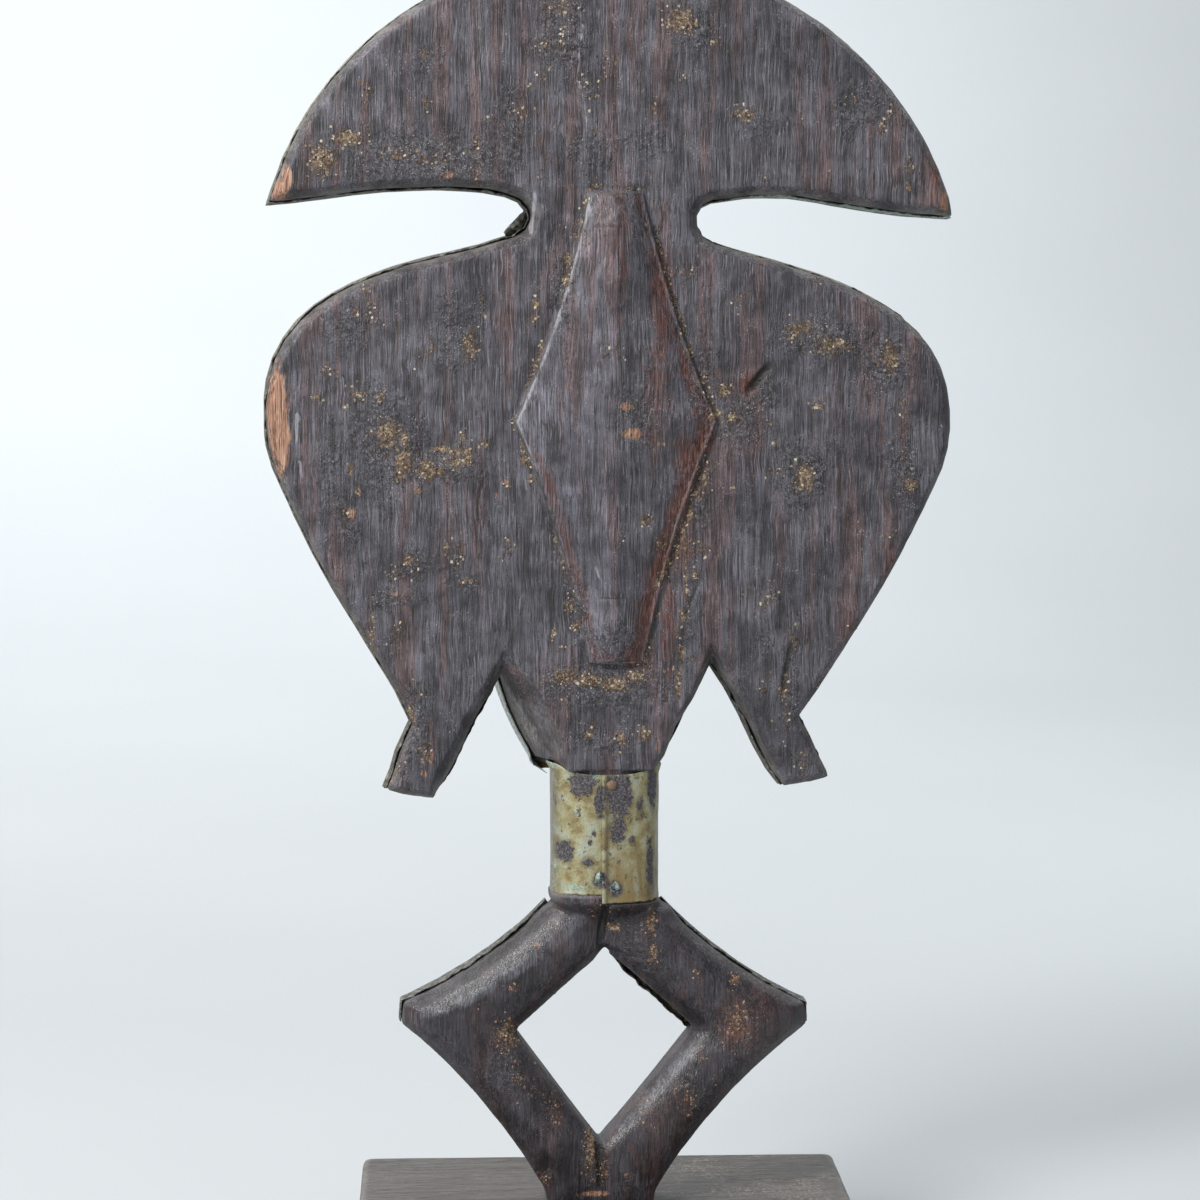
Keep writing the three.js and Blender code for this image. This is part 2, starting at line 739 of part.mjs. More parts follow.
function figureGroup() {
  const outline = plankOutline();
  const sheets = plankSheets(outline);
  const wrapped = TACKS.reduce((left, place) => left.subtract(tackHole(place)), collar());
  const figure = new THREE.Group();
  figure.add(
    named("wooden_figure", woodenFigure(outline), finish.wood),
    named("crest_sheet", sheets.crest, finish.sheet),
    named("side_sheet_left", sheets.left, finish.sheet),
    named("side_sheet_right", sheets.right, finish.sheet),
    named("face_sheet", faceSheet().subtract(collarSeat()), finish.sheet),
    named("limb_sheet_left", limbSheet(1).subtract(neckColumn(GAP)), finish.sheet),
    named("limb_sheet_right", limbSheet(-1).subtract(neckColumn(GAP)), finish.sheet),
    named("neck_collar", wrapped, finish.collar),
  );
  for (const place of TACKS) {
    const mesh = named(place.name, tack(place), finish.tack);
    mesh.position.set(place.x, tackPlace(place), place.z);
    figure.add(mesh);
  }
  figure.position.set(CENTRING, 0, PLINTH.height + REST_GAP);
  return figure;
}

const root = new THREE.Group();
const plinth = named("plinth", plinthBlock(), finish.plinth);
plinth.rotation.z = rad(PLINTH.turn);
plinth.position.x = CENTRING;
root.add(plinth, figureGroup());

export default root;
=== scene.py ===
"""The look of a reliquary guardian figure: aged carved wood, beaten sheet metal and a wooden plinth."""

import contextlib
import itertools
import math

import bmesh
import bpy
import numpy as np
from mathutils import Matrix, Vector
from mathutils.bvhtree import BVHTree
from mathutils.kdtree import KDTree


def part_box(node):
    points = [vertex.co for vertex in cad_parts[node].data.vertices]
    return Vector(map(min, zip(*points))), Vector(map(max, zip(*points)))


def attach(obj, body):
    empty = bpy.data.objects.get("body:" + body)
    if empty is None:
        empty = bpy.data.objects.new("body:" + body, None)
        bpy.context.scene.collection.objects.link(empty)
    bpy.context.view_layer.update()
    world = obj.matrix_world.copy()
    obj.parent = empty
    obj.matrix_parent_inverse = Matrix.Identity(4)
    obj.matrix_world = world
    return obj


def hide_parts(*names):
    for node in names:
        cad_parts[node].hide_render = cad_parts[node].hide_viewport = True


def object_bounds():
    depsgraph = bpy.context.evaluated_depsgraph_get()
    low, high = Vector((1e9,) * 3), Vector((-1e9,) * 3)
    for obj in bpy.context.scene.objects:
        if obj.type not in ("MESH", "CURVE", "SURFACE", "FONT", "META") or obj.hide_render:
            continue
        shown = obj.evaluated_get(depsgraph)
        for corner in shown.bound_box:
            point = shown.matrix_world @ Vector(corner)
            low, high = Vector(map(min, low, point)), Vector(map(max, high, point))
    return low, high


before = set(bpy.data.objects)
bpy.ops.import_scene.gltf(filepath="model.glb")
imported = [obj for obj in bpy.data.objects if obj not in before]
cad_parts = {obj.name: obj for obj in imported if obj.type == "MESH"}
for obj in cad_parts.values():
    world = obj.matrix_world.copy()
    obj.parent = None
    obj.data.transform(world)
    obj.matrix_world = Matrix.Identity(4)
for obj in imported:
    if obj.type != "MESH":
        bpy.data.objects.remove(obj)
cad_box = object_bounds()
scene = bpy.context.scene

# Lengths are in millimetres in the figure's own frame, x from its middle and z up from its foot.
MM = 0.001
# Points closer than this, in metres, are one point
WELD = 2e-6
FIGURE_X = 1.0
FOOT_Z = 30.3
FRONT_Y = -1.0

# How finely each surface is made
WOOD_PITCH = 0.8
WOOD_TRIANGLES = 196000
SHEET_PITCH = 1.7
PLINTH_PITCH = 1.6

# Crumbs of dried dirt: the largest one's radius, and how many lie on a square metre where they are thickest
CRUMB_SIZE = 0.5
CRUMB_DENSITY = 1.7e6

# Raised lozenge, neck, collar and face, as the solids have them
RELIEF = {"x": -2.8, "top_z": 463.0, "wide_z": 361.0, "end_z": 252.0}
RELIEF |= {"top": 12.0, "wide": 45.0, "end": 12.0, "bow": 3.2}
NECK = {"x": 0.8, "half_width": 23.6, "half_depth": 20.0, "roundness": 2.8}
COLLAR = {"start": 17.0, "end": -362.6, "low_start": 146.8, "low_end": 142.4, "rise": 40.0}
COLLAR_TOP = {"z": 198.6, "back": 1.6, "sides": 5.6, "left": 2.0}
FACE = {"x": 3.0, "z": 322.0, "half_width": 58.0, "half_height": 137.0}
FACE |= {"dish": 8.0, "rim_y": -27.0, "lip": 17.5, "block_slope": 0.165}
# A sheet's thickness, its gap to what it lies on, and the height of the crest's lower edge
SHEET = 0.6
GAP = 0.3
SHEET_SEAM_Z = 452.0
# The broad plank, with its panels and crest, begins between these heights
PLANK_FROM_Z = (190, 196)
# The face's sheet is cut off at the collar
FACE_END_Z = 197.9

# The torn tongue at the left notch: where it is rooted and its free edge, x and z from below upwards
TONGUE = [
    ((45.0, 442.4), (41.0, 444.0), (37.4, 447.3), (35.6, 452.7)),
    ((46.4, 445.1), (44.1, 448.2), (41.0, 451.1), (37.4, 454.9)),
]

# A tack's length below its head, and the points round it
TACK_SHANK = 6.9
TACK_COLUMNS = 36

# The picture's viewpoint, in metres
EYE = Vector((0.1422, 1.583, 0.4592))
LOOK_AT = Vector((0.0055, 0.021, 0.311))
LENS = 105.0
SENSOR = 36.0

# The studio's floor, which runs up into a backdrop in a curve, in metres
FLOOR_REACH = 9.0
COVE_START = -2.2
COVE = 3.0
BACKDROP_TOP = 5.4

# Soft-edged ovals on the back: x, z, half width, half height, strength
CRUST_SPOTS = [
    (108.2, 505, 1.8, 4, 0.6), (81.7, 503.8, 1.4, 4.5, 0.6), (127.7, 476.9, 5.9, 5.9, 1),
    (116.2, 486.6, 7.2, 4, 0.9), (109.9, 510.7, 2.2, 2.2, 0.6), (94.2, 479.2, 5.4, 3.6, 0.5),
    (80.1, 477, 11.7, 4, 0.4), (29.8, 528.2, 4, 2.7, 0.6), (34.7, 510.1, 3.6, 1.4, 0.5),
    (39.2, 498.3, 4.5, 2.2, 0.6), (82.5, 523.1, 2.7, 3.6, 0.5), (21.4, 544.4, 5.4, 3.6, 0.5),
    (-31.6, 538.6, 6.3, 5, 1), (-61.3, 497.3, 5, 3.1, 0.8), (-19.2, 500.3, 2.2, 3.6, 0.6),
    (-109.9, 504.6, 3.1, 2.2, 0.5), (-46.8, 528.6, 3.6, 3.6, 0.6), (4.5, 521.3, 5.4, 3.1, 0.4),
    (22.3, 490.4, 4.5, 2.7, 0.3), (-122.1, 494, 2.7, 2.7, 0.4), (113.6, 410, 2.2, 2.7, 0.6),
    (62.6, 395.3, 3.1, 7.2, 0.8), (80.5, 393.5, 1.8, 3.6, 0.6), (99.8, 355.8, 5, 6.3, 1),
    (92.7, 342.4, 3.6, 5.4, 1), (80.7, 339.2, 8.1, 2.7, 0.9), (66.4, 347.6, 5.4, 3.1, 0.9),
    (89.8, 298.5, 1.8, 2.7, 0.7), (106.5, 268, 1.4, 13.5, 0.6), (117.4, 320.2, 2.2, 2.2, 0.6),
    (65.2, 289.8, 3.1, 1.8, 0.5), (96.2, 282.8, 7.2, 1.4, 0.4), (124.9, 383.4, 3.6, 2.7, 0.5),
    (113.5, 372.3, 5.4, 4.5, 0.4), (18.8, 432.5, 1.4, 4, 1), (19.7, 424.1, 1.8, 3.6, 0.9),
    (11.6, 459.6, 1.8, 3.1, 0.7), (33.1, 413, 2.2, 2.7, 0.9), (34, 407.2, 1.8, 2.2, 0.8),
    (46.7, 331.8, 2.7, 3.1, 0.5), (12.1, 446.3, 1.4, 8.1, 0.5), (-7.6, 367.9, 3.6, 1.8, 0.3),
    (-5.8, 355.8, 4, 2.2, 0.3), (-15.4, 317.1, 3.1, 2.7, 0.8), (-22.6, 306.7, 4, 3.6, 0.7),
    (-36, 393.3, 1.4, 4.5, 0.7), (-41.4, 380.3, 1.8, 4.5, 0.7), (-51.4, 374.9, 2.7, 3.1, 0.8),
    (-43.3, 337.7, 1.4, 6.3, 0.6), (-36.1, 320.1, 1.8, 7.2, 0.5), (-34.4, 294, 1.4, 18, 0.6),
    (-85.6, 401.7, 8.1, 4, 0.7), (-100.2, 395, 9, 4, 0.8), (-126.6, 389.1, 4, 6.3, 0.9),
    (-94.4, 367.6, 2.7, 2.7, 0.7), (-88.3, 335.2, 4, 6.8, 1), (-136.2, 332.2, 3.1, 4, 0.8),
    (-127.2, 309.2, 3.1, 1.4, 0.5), (-83.2, 262.7, 1.8, 4.5, 0.7), (-79.7, 239, 2.2, 6.3, 0.7),
    (-111.5, 266.5, 2.2, 2.7, 0.5), (-74.6, 338.9, 3.6, 5.4, 0.3), (-108.9, 316.1, 4.5, 3.6, 0.3),
    (-133.7, 361.1, 2.7, 6.3, 0.4), (20.3, 246.4, 5.4, 2.7, 1), (9, 244.1, 6.3, 2.7, 1),
    (-2.3, 242.6, 6.3, 3.1, 1), (-11.8, 246.1, 4, 2.7, 1), (-30.9, 242.3, 1.8, 7.7, 0.8),
    (9.5, 219.5, 2.7, 3.1, 0.9), (-5, 217.5, 2.7, 4, 0.8), (-15.9, 220.1, 4, 4, 0.8),
    (22.6, 235.6, 3.6, 2.2, 0.4), (37.1, 217.6, 2.7, 2.7, 0.3), (-68.4, 204.9, 4.5, 3.6, 0.5),
    (89.7, 230, 1.4, 4, 0.9), (83.5, 212.7, 2.7, 5.4, 0.6), (97, 204.7, 3.6, 2.7, 0.5),
    (-81.1, 227.6, 1.8, 4.5, 0.5), (-87.2, 204.7, 2.2, 3.6, 0.6), (-2.8, 129.6, 3.6, 2.7, 0.8),
    (-19.7, 132.1, 2.2, 6.3, 0.8), (-20.6, 118.3, 2.2, 5.4, 0.8), (-58.7, 104.6, 3.1, 2.7, 0.7),
    (-39.9, 108.7, 2.2, 2.7, 0.5), (44.6, 102.8, 3.6, 1.8, 0.5), (31.8, 116.9, 1.8, 1.8, 0.5),
    (46.9, 80.3, 5, 6.8, 0.9), (41, 59.3, 3.6, 6.3, 0.5), (24.6, 45.1, 2.7, 6.3, 0.5),
    (-58.8, 84.2, 5.9, 10.8, 0.6), (-36.8, 50.7, 3.6, 7.2, 0.4), (-41.4, 69.3, 2.7, 4.5, 0.5),
    (8.2, 28.4, 2.7, 13.5, 0.9), (3.1, 16.7, 2.7, 5.4, 0.8), (-13.8, 46.6, 3.6, 6.3, 0.3),
    (100.2, 355.8, 3.1, 2.7, 1), (91.8, 353.1, 1.8, 4, 1), (91.8, 346.4, 2.2, 2.7, 1),
    (94.5, 337, 2.2, 2.7, 1), (82.5, 341.9, 2.7, 2.7, 1), (74.9, 349, 3.6, 1.8, 1),
    (69.1, 342.7, 3.6, 2.2, 1), (63.7, 344.9, 2.2, 3.1, 1), (65.9, 354.3, 1.8, 2.2, 1),
    (56.5, 352, 1.8, 2.2, 1), (81.6, 337, 2.7, 2.2, 1), (86.1, 330.3, 1.8, 1.8, 1),
    (112.8, 330.4, 1.4, 2.2, 1), (116.3, 339.8, 1.1, 2.7, 1), (90.3, 299.4, 2.2, 2.7, 1),
    (73.3, 304.6, 1.6, 2.2, 1), (102.8, 372.3, 1.8, 2.7, 1), (112.6, 373.2, 2.2, 1.8, 1),
    (130.3, 371.9, 1.8, 1.8, 1), (-51.4, 374, 2.7, 2.7, 1), (-47.3, 363.7, 4, 1.8, 1),
    (-55, 362.3, 2.7, 1.8, 1), (-42.4, 335, 1.8, 3.1, 1), (-39.3, 328.2, 1.6, 3.1, 1),
    (-36.2, 318.3, 1.6, 3.6, 1), (-33, 310.7, 1.6, 3.1, 1), (-30.3, 303.5, 1.8, 3.1, 1),
    (-26.7, 297.6, 1.8, 2.7, 1), (-24, 292.7, 1.8, 2.7, 1), (-21.3, 288.2, 1.8, 2.2, 1),
    (-33.1, 273.6, 1.4, 4, 1), (-32.2, 256.8, 1.4, 5.4, 1), (18, 278.1, 1.8, 3.6, 1),
    (15.3, 269, 1.8, 2.7, 1), (25.7, 265.5, 1.4, 2.2, 1), (35.5, 334.9, 1.4, 2.2, 1),
    (39.1, 343.9, 1.1, 3.1, 1), (-38.5, 291.7, 1.4, 1.8, 1), (56.1, 350.7, 1.8, 1.8, 1),
]
BARE_SPOTS = [
    (148.1, 365.8, 4.7, 20.7, 1), (146.4, 353.3, 3.6, 16.2, 1), (146.3, 463.7, 4, 5.9, 0.9),
    (143.2, 469, 2.7, 6.3, 0.9), (-6.7, 367.9, 3.1, 1.8, 0.9), (-9.9, 355.8, 4, 2.7, 1),
    (-23.4, 351.2, 3.6, 1.1, 0.6), (46.7, 334.1, 1.4, 1.8, 0.6), (50.8, 328.7, 1.4, 2.2, 0.6),
    (47.2, 334.1, 2.7, 1.4, 0.7), (116, 320.2, 2.7, 3.6, 0.6), (63.9, 289.7, 6.3, 1.6, 0.55),
    (95.7, 284.1, 5.9, 1.6, 0.55), (72.1, 470.5, 2.7, 1.8, 0.8), (-151, 459.4, 2, 5, 1),
    (80.8, 209, 1.8, 2.7, 0.8), (84, 203.1, 1.8, 2.2, 0.7), (98.4, 198.8, 1.8, 1.4, 0.6),
    (-21.4, 212.3, 1.1, 5, 0.6), (-8.1, 367.9, 2.7, 1.8, 0.5), (-6.3, 355.8, 3.1, 2.2, 0.6),
    (32.7, 122.9, 1.4, 1.8, 0.8), (31.8, 110, 1.4, 1.4, 0.5), (44.6, 102.8, 2.2, 1.4, 0.6),
    (106.6, 263.5, 1.1, 9.9, 0.4), (97.6, 96, 3.1, 1.8, 0.4), (-54.2, 87.6, 2.7, 4, 0.35),
    (5.9, 6, 7.2, 1.4, 0.9), (87.9, 227.2, 1.4, 4.5, 0.5),
]
RED_SPOTS = [
    (-4, 432.1, 3.6, 27, 0.55), (-62.2, 377.1, 4.5, 6.3, 0.8), (-59.6, 356.9, 2.7, 15.3, 0.5),
    (-39.2, 370.9, 3.6, 9.9, 0.9), (-43.3, 354.8, 4, 9, 1), (-33.4, 325.6, 3.1, 16.2, 1),
    (-26.2, 301.7, 2.7, 9, 1), (-18.1, 284.1, 3.1, 11.7, 0.9), (-13.6, 267.9, 3.6, 8.1, 0.9),
    (-9.5, 255.7, 3.6, 7.2, 1), (-146.3, 475.4, 3.1, 18, 0.8), (-130.2, 510.9, 3.6, 22.5, 0.4),
    (-128.3, 291, 4, 13.5, 0.8), (-133.8, 347.6, 2.7, 27, 0.3), (-22.9, 415.2, 5, 36, 0.75),
    (-36.1, 339.1, 8.1, 18, 0.7), (-33, 305.3, 5.4, 22.5, 0.6), (-20.2, 370.5, 7.2, 27, 0.5),
    (-26.3, 271.4, 4, 22.5, 0.7), (-13.6, 262.4, 5.4, 18, 0.5), (-10.9, 255.2, 2.2, 3.6, 1),
    (-40.6, 352.5, 2.7, 11.2, 0.9), (29, 490.4, 7.2, 27, 0.25), (-67.7, 356.9, 2.7, 18, 0.3),
    (-58.8, 84.2, 8.1, 13.5, 0.7), (-68.9, 91.9, 5.4, 9, 0.5), (118, 90.8, 6.3, 5.4, 0.5),
    (-13.9, 21, 6.3, 11.7, 0.3), (-20, 508.2, 9, 22.5, 0.2), (47, 410.8, 6.3, 27, 0.3),
    (71.7, 361.9, 4.5, 27, 0.2), (-99, 437.5, 5.4, 18, 0.2), (-4.4, 477.3, 3.6, 18, 0.25),
    (99.5, 477, 13.5, 5.4, 0.2), (80.8, 218.1, 4.5, 13.5, 0.4), (-109.3, 261.5, 4.5, 18, 0.4),
    (-47.7, 381.6, 4.5, 4.5, 0.5),
]

# Carved or torn lines on the back: x and z at one end, x and z at the other, width, depth
GOUGES = [
    (-72.1, 386.1, -61.8, 374, 4.6, 2), (-83.2, 263.6, -77.9, 235.4, 3.1, 1),
    (-40.3, 288.9, -34, 272.2, 2.2, 0.7), (-34, 272.2, -31.3, 246.4, 2.7, 0.7),
    (-69, 382.9, -64, 376.7, 1.8, 0.8), (1.3, 144.9, 3.6, 120.1, 4.5, 2.2), (4, 33, 3.1, 6.9, 5, 1.5),
]
CRACKS = [
    (22.4, 404.6, 15.3, 368.9, 0.7, 0.35), (-21.1, 390.2, -12.1, 366.5, 0.9, 0.4),
    (10.8, 447.6, -7.1, 447.6, 0.9, 0.3), (58.2, 537.2, 57.8, 509.2, 0.9, 0.3),
    (12.1, 527.4, 12.5, 501.5, 0.9, 0.35), (19.2, 464, 29.1, 429.4, 0.7, 0.25),
    (12.5, 501.5, 10.7, 486, 0.7, 0.25), (6.3, 282.1, -5, 282, 0.9, 0.4),
    (92.3, 347.7, 65, 352.5, 0.9, 0.25), (-18.7, 539, -17.8, 521.4, 0.7, 0.25),
    (-66.9, 539.3, -65.7, 521.6, 0.9, 0.3),
]

# Polished arrises and light scratches: x and z at one end, x and z at the other, width, strength
SCRATCHES = [
    (58.2, 538.5, 56.9, 521, 1.1, 0.7), (56.9, 521, 58.2, 509.6, 1.1, 0.6),
    (49.8, 534.2, 51.6, 521, 1.1, 0.4), (11.2, 545.8, 13.4, 528.2, 1.1, 0.8),
    (13.4, 528.2, 14.3, 514.6, 1.1, 0.7), (14.3, 514.6, 11.6, 503.7, 1.1, 0.8),
    (11.6, 503.7, 9.9, 489.6, 1.1, 0.6), (16.6, 463.1, 19.7, 448, 1.1, 0.5),
    (19.7, 448, 24.6, 429.4, 1.1, 0.4), (9.4, 488.7, 6.3, 477.2, 1.1, 0.4),
    (-18.7, 539.8, -17.8, 520.5, 1.1, 0.5), (-71.5, 530.5, -68.8, 516.4, 1.1, 0.4),
    (-59.1, 481.8, -57.3, 468.5, 1.1, 0.4), (-20.2, 374.1, -13.5, 352.6, 1.1, 0.6),
    (-13.5, 352.6, -10.4, 339.2, 1.1, 0.4), (9, 298.8, 0, 280.7, 1.1, 0.6),
    (0, 280.7, -13.6, 258.8, 1.1, 0.5), (15.8, 316.9, 13.5, 298.8, 1.1, 0.4),
    (-0.9, 339.2, 1.8, 325.8, 1.1, 0.5), (29.1, 448.5, 31.3, 463.9, 1.5, 0.7),
    (28.2, 432.1, 29.1, 448.5, 1.2, 0.5), (-114, 372.5, -107.7, 356.7, 1.1, 0.4),
    (-117.1, 437.5, -115.5, 419.6, 1.1, 0.3), (-49.7, 339, -47.9, 316.5, 1.1, 0.4),
    (47.2, 317, 44.1, 299, 1.1, 0.4), (111.2, 450.6, 114.8, 443.5, 1.1, 0.3),
    (84.8, 415.3, 86.2, 402, 1.1, 0.4), (76, 388.6, 77.9, 370.9, 1.1, 0.4),
    (134.2, 326.5, 125.5, 306.4, 1.1, 0.5), (140, 373.3, 139.8, 348.8, 1.8, 0.9),
    (139.8, 348.8, 136.8, 333.2, 1.2, 0.6), (46.1, 238.5, 19.9, 205.5, 1.1, 0.3),
    (33.5, 463.9, 34, 453.3, 2, 1), (34, 453.3, 35.3, 443.6, 2, 0.9), (9, 235.4, 10.8, 221.8, 1.1, 0.4),
    (-9.1, 239.8, -13.6, 226.1, 1.1, 0.4), (-95.3, 298, -100, 279.8, 1.1, 0.4),
    (-130.9, 415.1, -137.9, 401.6, 1.1, 0.4), (48.9, 507.9, 51.6, 494.7, 1.1, 0.4),
    (-40.2, 512.7, -42, 495.1, 1.1, 0.4), (-103, 521.8, -107.6, 508.6, 1.1, 0.3),
]

# Painted highlight streaks along the limbs' ridges, where the light catches them: x and z at one end, x and z
# at the other, width, strength
LIMB_HIGHLIGHT_STREAKS = [
    (10, 137.2, 29.5, 120.5, 9, 0.8), (29.5, 120.5, 50, 106.1, 8, 0.9), (50, 106.1, 71.8, 94.6, 8, 0.9),
    (71.8, 94.6, 89.1, 90.3, 6, 0.8), (-43.2, 75.7, -27.6, 59.3, 8, 0.8),
    (-27.6, 59.3, -13.8, 43.8, 7, 0.8), (-13.8, 43.8, -3.8, 32.8, 6, 0.6),
]

# The chin's flat facet beside the face, which lies in shade, made lighter as painted light
PAINTED_LIGHT_FACETS = [
    (44.3, 235.8, 30.8, 212, 4.6, 1), (46.1, 240.4, 40.7, 228.5, 3.6, 1),
]

# Edges of the left notch cut back in a chamfer: x and z at one end, x and z at the other, width, depth
CHAMFERS = [
    (134, 459, 90, 463.7, 2.4, 0.7), (90, 463.7, 56, 463.4, 3, 1.2), (56, 463.4, 46, 461.8, 4.2, 2.2),
    (46, 461.8, 38, 457.5, 4.8, 3), (38, 457.5, 37, 446, 4.8, 3.2),
]

# Areas where old dirt has dried in grains: x, z, half width, half height, strength
ROUGH_SPOTS = [
    (80, 478, 40, 12, 0.9), (22, 528, 12, 10, 1), (21, 542, 10, 6, 0.8), (-36, 535, 12, 10, 0.7),
    (80, 520, 8, 8, 0.7), (45, 490, 10, 18, 0.7), (9, 482, 12, 9, 0.6), (-16, 486, 15, 8, 0.5),
    (-113, 501, 14, 12, 0.8), (-67, 494, 11, 8, 0.6), (60, 444, 4, 12, 0.4), (101, 353, 14, 23, 1),
    (125, 335, 7, 27, 0.6), (118, 404, 9, 11, 0.7), (69, 400, 11, 15, 0.7), (76, 341, 19, 8, 0.9),
    (88, 299, 15, 7, 0.5), (97, 281, 20, 5, 0.6), (65, 288, 14, 6, 0.5), (116, 315, 7, 12, 0.6),
    (-59, 361, 12, 12, 0.8), (-99, 398, 23, 9, 0.8), (-124, 386, 11, 13, 0.9), (-86, 337, 10, 14, 1),
    (-134, 339, 9, 20, 0.7), (-70, 373, 8, 8, 0.7), (-109, 352, 12, 7, 0.4), (-131, 366, 7, 9, 0.5),
    (7, 241, 33, 11, 0.9), (0, 263, 18, 9, 0.6), (4, 217, 20, 6, 0.6), (89, 226, 8, 15, 0.8),
    (95, 205, 10, 6, 0.6), (-82, 239, 6, 22, 0.6), (-66, 257, 9, 12, 0.4), (-87, 205, 6, 5, 0.5),
    (22, 420, 5, 27, 0.6), (-13, 362, 11, 14, 0.6), (-41, 379, 6, 22, 0.8), (-41, 326, 5, 18, 0.6),
    (16, 281, 5, 18, 0.6), (-36, 271, 6, 18, 0.5), (48, 69, 8, 16, 0.9), (30, 45, 6, 11, 0.6),
    (-60, 83, 11, 15, 0.8), (-14, 116, 11, 18, 0.8), (5, 24, 5, 14, 0.8), (-41, 51, 12, 11, 0.5),
    (86, 95, 11, 5, 0.4),
]

# Patches on the collar's back
COLLAR_DARK = [
    (12.2, 196.8, 6.3, 6.3, 1), (4.5, 189.4, 2.7, 8.6, 0.9), (7.2, 174.3, 1.4, 1.8, 0.7),
    (9, 170.2, 1.4, 1.8, 0.7), (20, 165.8, 4, 5.4, 1), (10, 161.5, 4, 2.7, 0.7), (-4.6, 191.5, 5.9, 9.9, 1),
    (-3.7, 176.9, 4, 8.1, 0.9), (-10.1, 171.3, 1.8, 2.2, 0.8), (-19.6, 195.4, 2.7, 10.8, 0.9),
    (-18.7, 158.3, 2.2, 15.3, 0.8), (24.5, 190.1, 2.2, 9, 0.5), (-13.7, 186.8, 2.2, 5.4, 0.6),
    (22.7, 178.6, 1.8, 2.2, 0.4), (15.9, 183.1, 1.8, 2.7, 0.4), (4.4, 153, 3.2, 3.8, 1),
    (-2.3, 149, 3.2, 3.8, 1), (-1, 197, 3.6, 3.4, 1),
]
COLLAR_GREEN = [
    (18.1, 202.3, 1.4, 1.4, 1), (6.3, 200.3, 1.4, 1.4, 0.9), (4.5, 153.2, 2.7, 1.8, 0.8),
    (-1.9, 149.4, 2.2, 1.8, 0.8), (15.9, 149.7, 9.9, 1.8, 0.7), (24.8, 206.1, 3.6, 3.1, 0.8),
    (24.5, 158.1, 2.7, 5.4, 0.5), (-21.4, 205.5, 1.8, 2.7, 0.5),
]


def lattice(corner, seed):
    """A repeatable number from -1 to 1 for each whole-numbered corner of space."""
    mixed = corner[:, 0] * 374761393 + corner[:, 1] * 668265263 + corner[:, 2] * 1442695041 + seed * 974634777
    mixed = (mixed ^ (mixed >> 13)) * 1274126177
    mixed ^= mixed >> 16
    return (mixed & 0xFFFF) / 32767.5 - 1.0


def noise(points, size, seed=0, octaves=1):
    """Smooth lumps from about -1 to 1. size is a lump's width along x, y and z."""
    total = np.zeros(len(points))
    reach = 0.0
    for octave in range(octaves):
        at = points / np.asarray(size, float) * 2**octave + 31.7 * seed
        low = np.floor(at).astype(np.int64)
        part = at - low
        part = part * part * (3 - 2 * part)
        value = np.zeros(len(points))
        for corner in itertools.product((0, 1), repeat=3):
            share = np.prod(np.where(np.array(corner), part, 1 - part), axis=1)
            value += share * lattice(low + np.array(corner), seed + octave)
        total += value * 0.5**octave
        reach += 0.5**octave
    return total / reach


def ramp(value, low, high):
    part = np.clip((value - low) / (high - low), 0, 1)
    return part * part * (3 - 2 * part)


def hump(value, middle, width):
    """1 at the middle, falling smoothly to either side."""
    return np.exp(-(((value - middle) / width) ** 2))


def ovals(points, table):
    """How deep each point lies in the soft-edged ovals of a table, from 0 to 1."""
    found = np.zeros(len(points))
    for x, z, half_width, half_height, strength in table:
        off = ((points[:, 0] - x) / half_width) ** 2 + ((points[:, 2] - z) / half_height) ** 2
        found = np.maximum(found, strength * np.exp(-0.8 * off))
    return found


def lines(points, table):
    """Depth of the carved lines of a table at each point, with ends that run out."""
    depth = np.zeros(len(points))
    at = points[:, [0, 2]]
    for x0, z0, x1, z1, width, deep in table:
        start, run = np.array((x0, z0)), np.array((x1 - x0, z1 - z0))
        along = (at - start) @ run / (run @ run)
        part = np.clip(along, 0, 1)
        away = np.linalg.norm(at - start - part[:, None] * run, axis=1)
        ends = np.clip(4 * np.minimum(part, 1 - part) + 0.25, 0, 1)
        depth = np.maximum(depth, deep * ends * np.clip(1 - (away / (0.5 * width)) ** 2, 0, 1))
    return depth


def read(mesh, what="co"):
    """A mesh's points in figure millimetres, or its unit directions out of the surface."""
    values = np.empty(len(mesh.vertices) * 3, np.float32)
    if what == "co":
        mesh.vertices.foreach_get("co", values)
        return values.reshape(-1, 3).astype(float) / MM - (FIGURE_X, 0, FOOT_Z)
    mesh.vertex_normals.foreach_get("vector", values)
    return values.reshape(-1, 3).astype(float)


def place(mesh, points):
    values = ((points + (FIGURE_X, 0, FOOT_Z)) * MM).astype(np.float32)
    mesh.vertices.foreach_set("co", values.ravel())
    mesh.update()


def edges_of(mesh):
    values = np.empty(len(mesh.edges) * 2, np.int32)
    mesh.edges.foreach_get("vertices", values)
    return values.reshape(-1, 2)


def evened(values, edges, rounds, share=0.5):
    """Values drawn towards the mean of their neighbours."""
    a, b = edges.T
    count = len(values)
    neighbours = np.maximum(np.bincount(a, minlength=count) + np.bincount(b, minlength=count), 1)
    values = np.array(values, float).reshape(count, -1)
    for _ in range(rounds):
        for column in values.T:
            total = np.bincount(a, column[b], count) + np.bincount(b, column[a], count)
            column += share * (total / neighbours - column)
    return values.squeeze()


def mark(mesh, name, values):
    """A named value at each point, for a material or a scatter to read."""
    layer = mesh.attributes.get(name) or mesh.attributes.new(name, "FLOAT", "POINT")
    layer.data.foreach_set("value", np.clip(values, 0, 1).astype(np.float32))


def piece_from(mesh, name):
    piece = bpy.data.objects.new(name, mesh)
    scene.collection.objects.link(piece)
    return piece


@contextlib.contextmanager
def opened(mesh):
    """A mesh open for editing, written back at the block's end."""
    work = bmesh.new()
    work.from_mesh(mesh)
    yield work
    work.to_mesh(mesh)
    work.free()


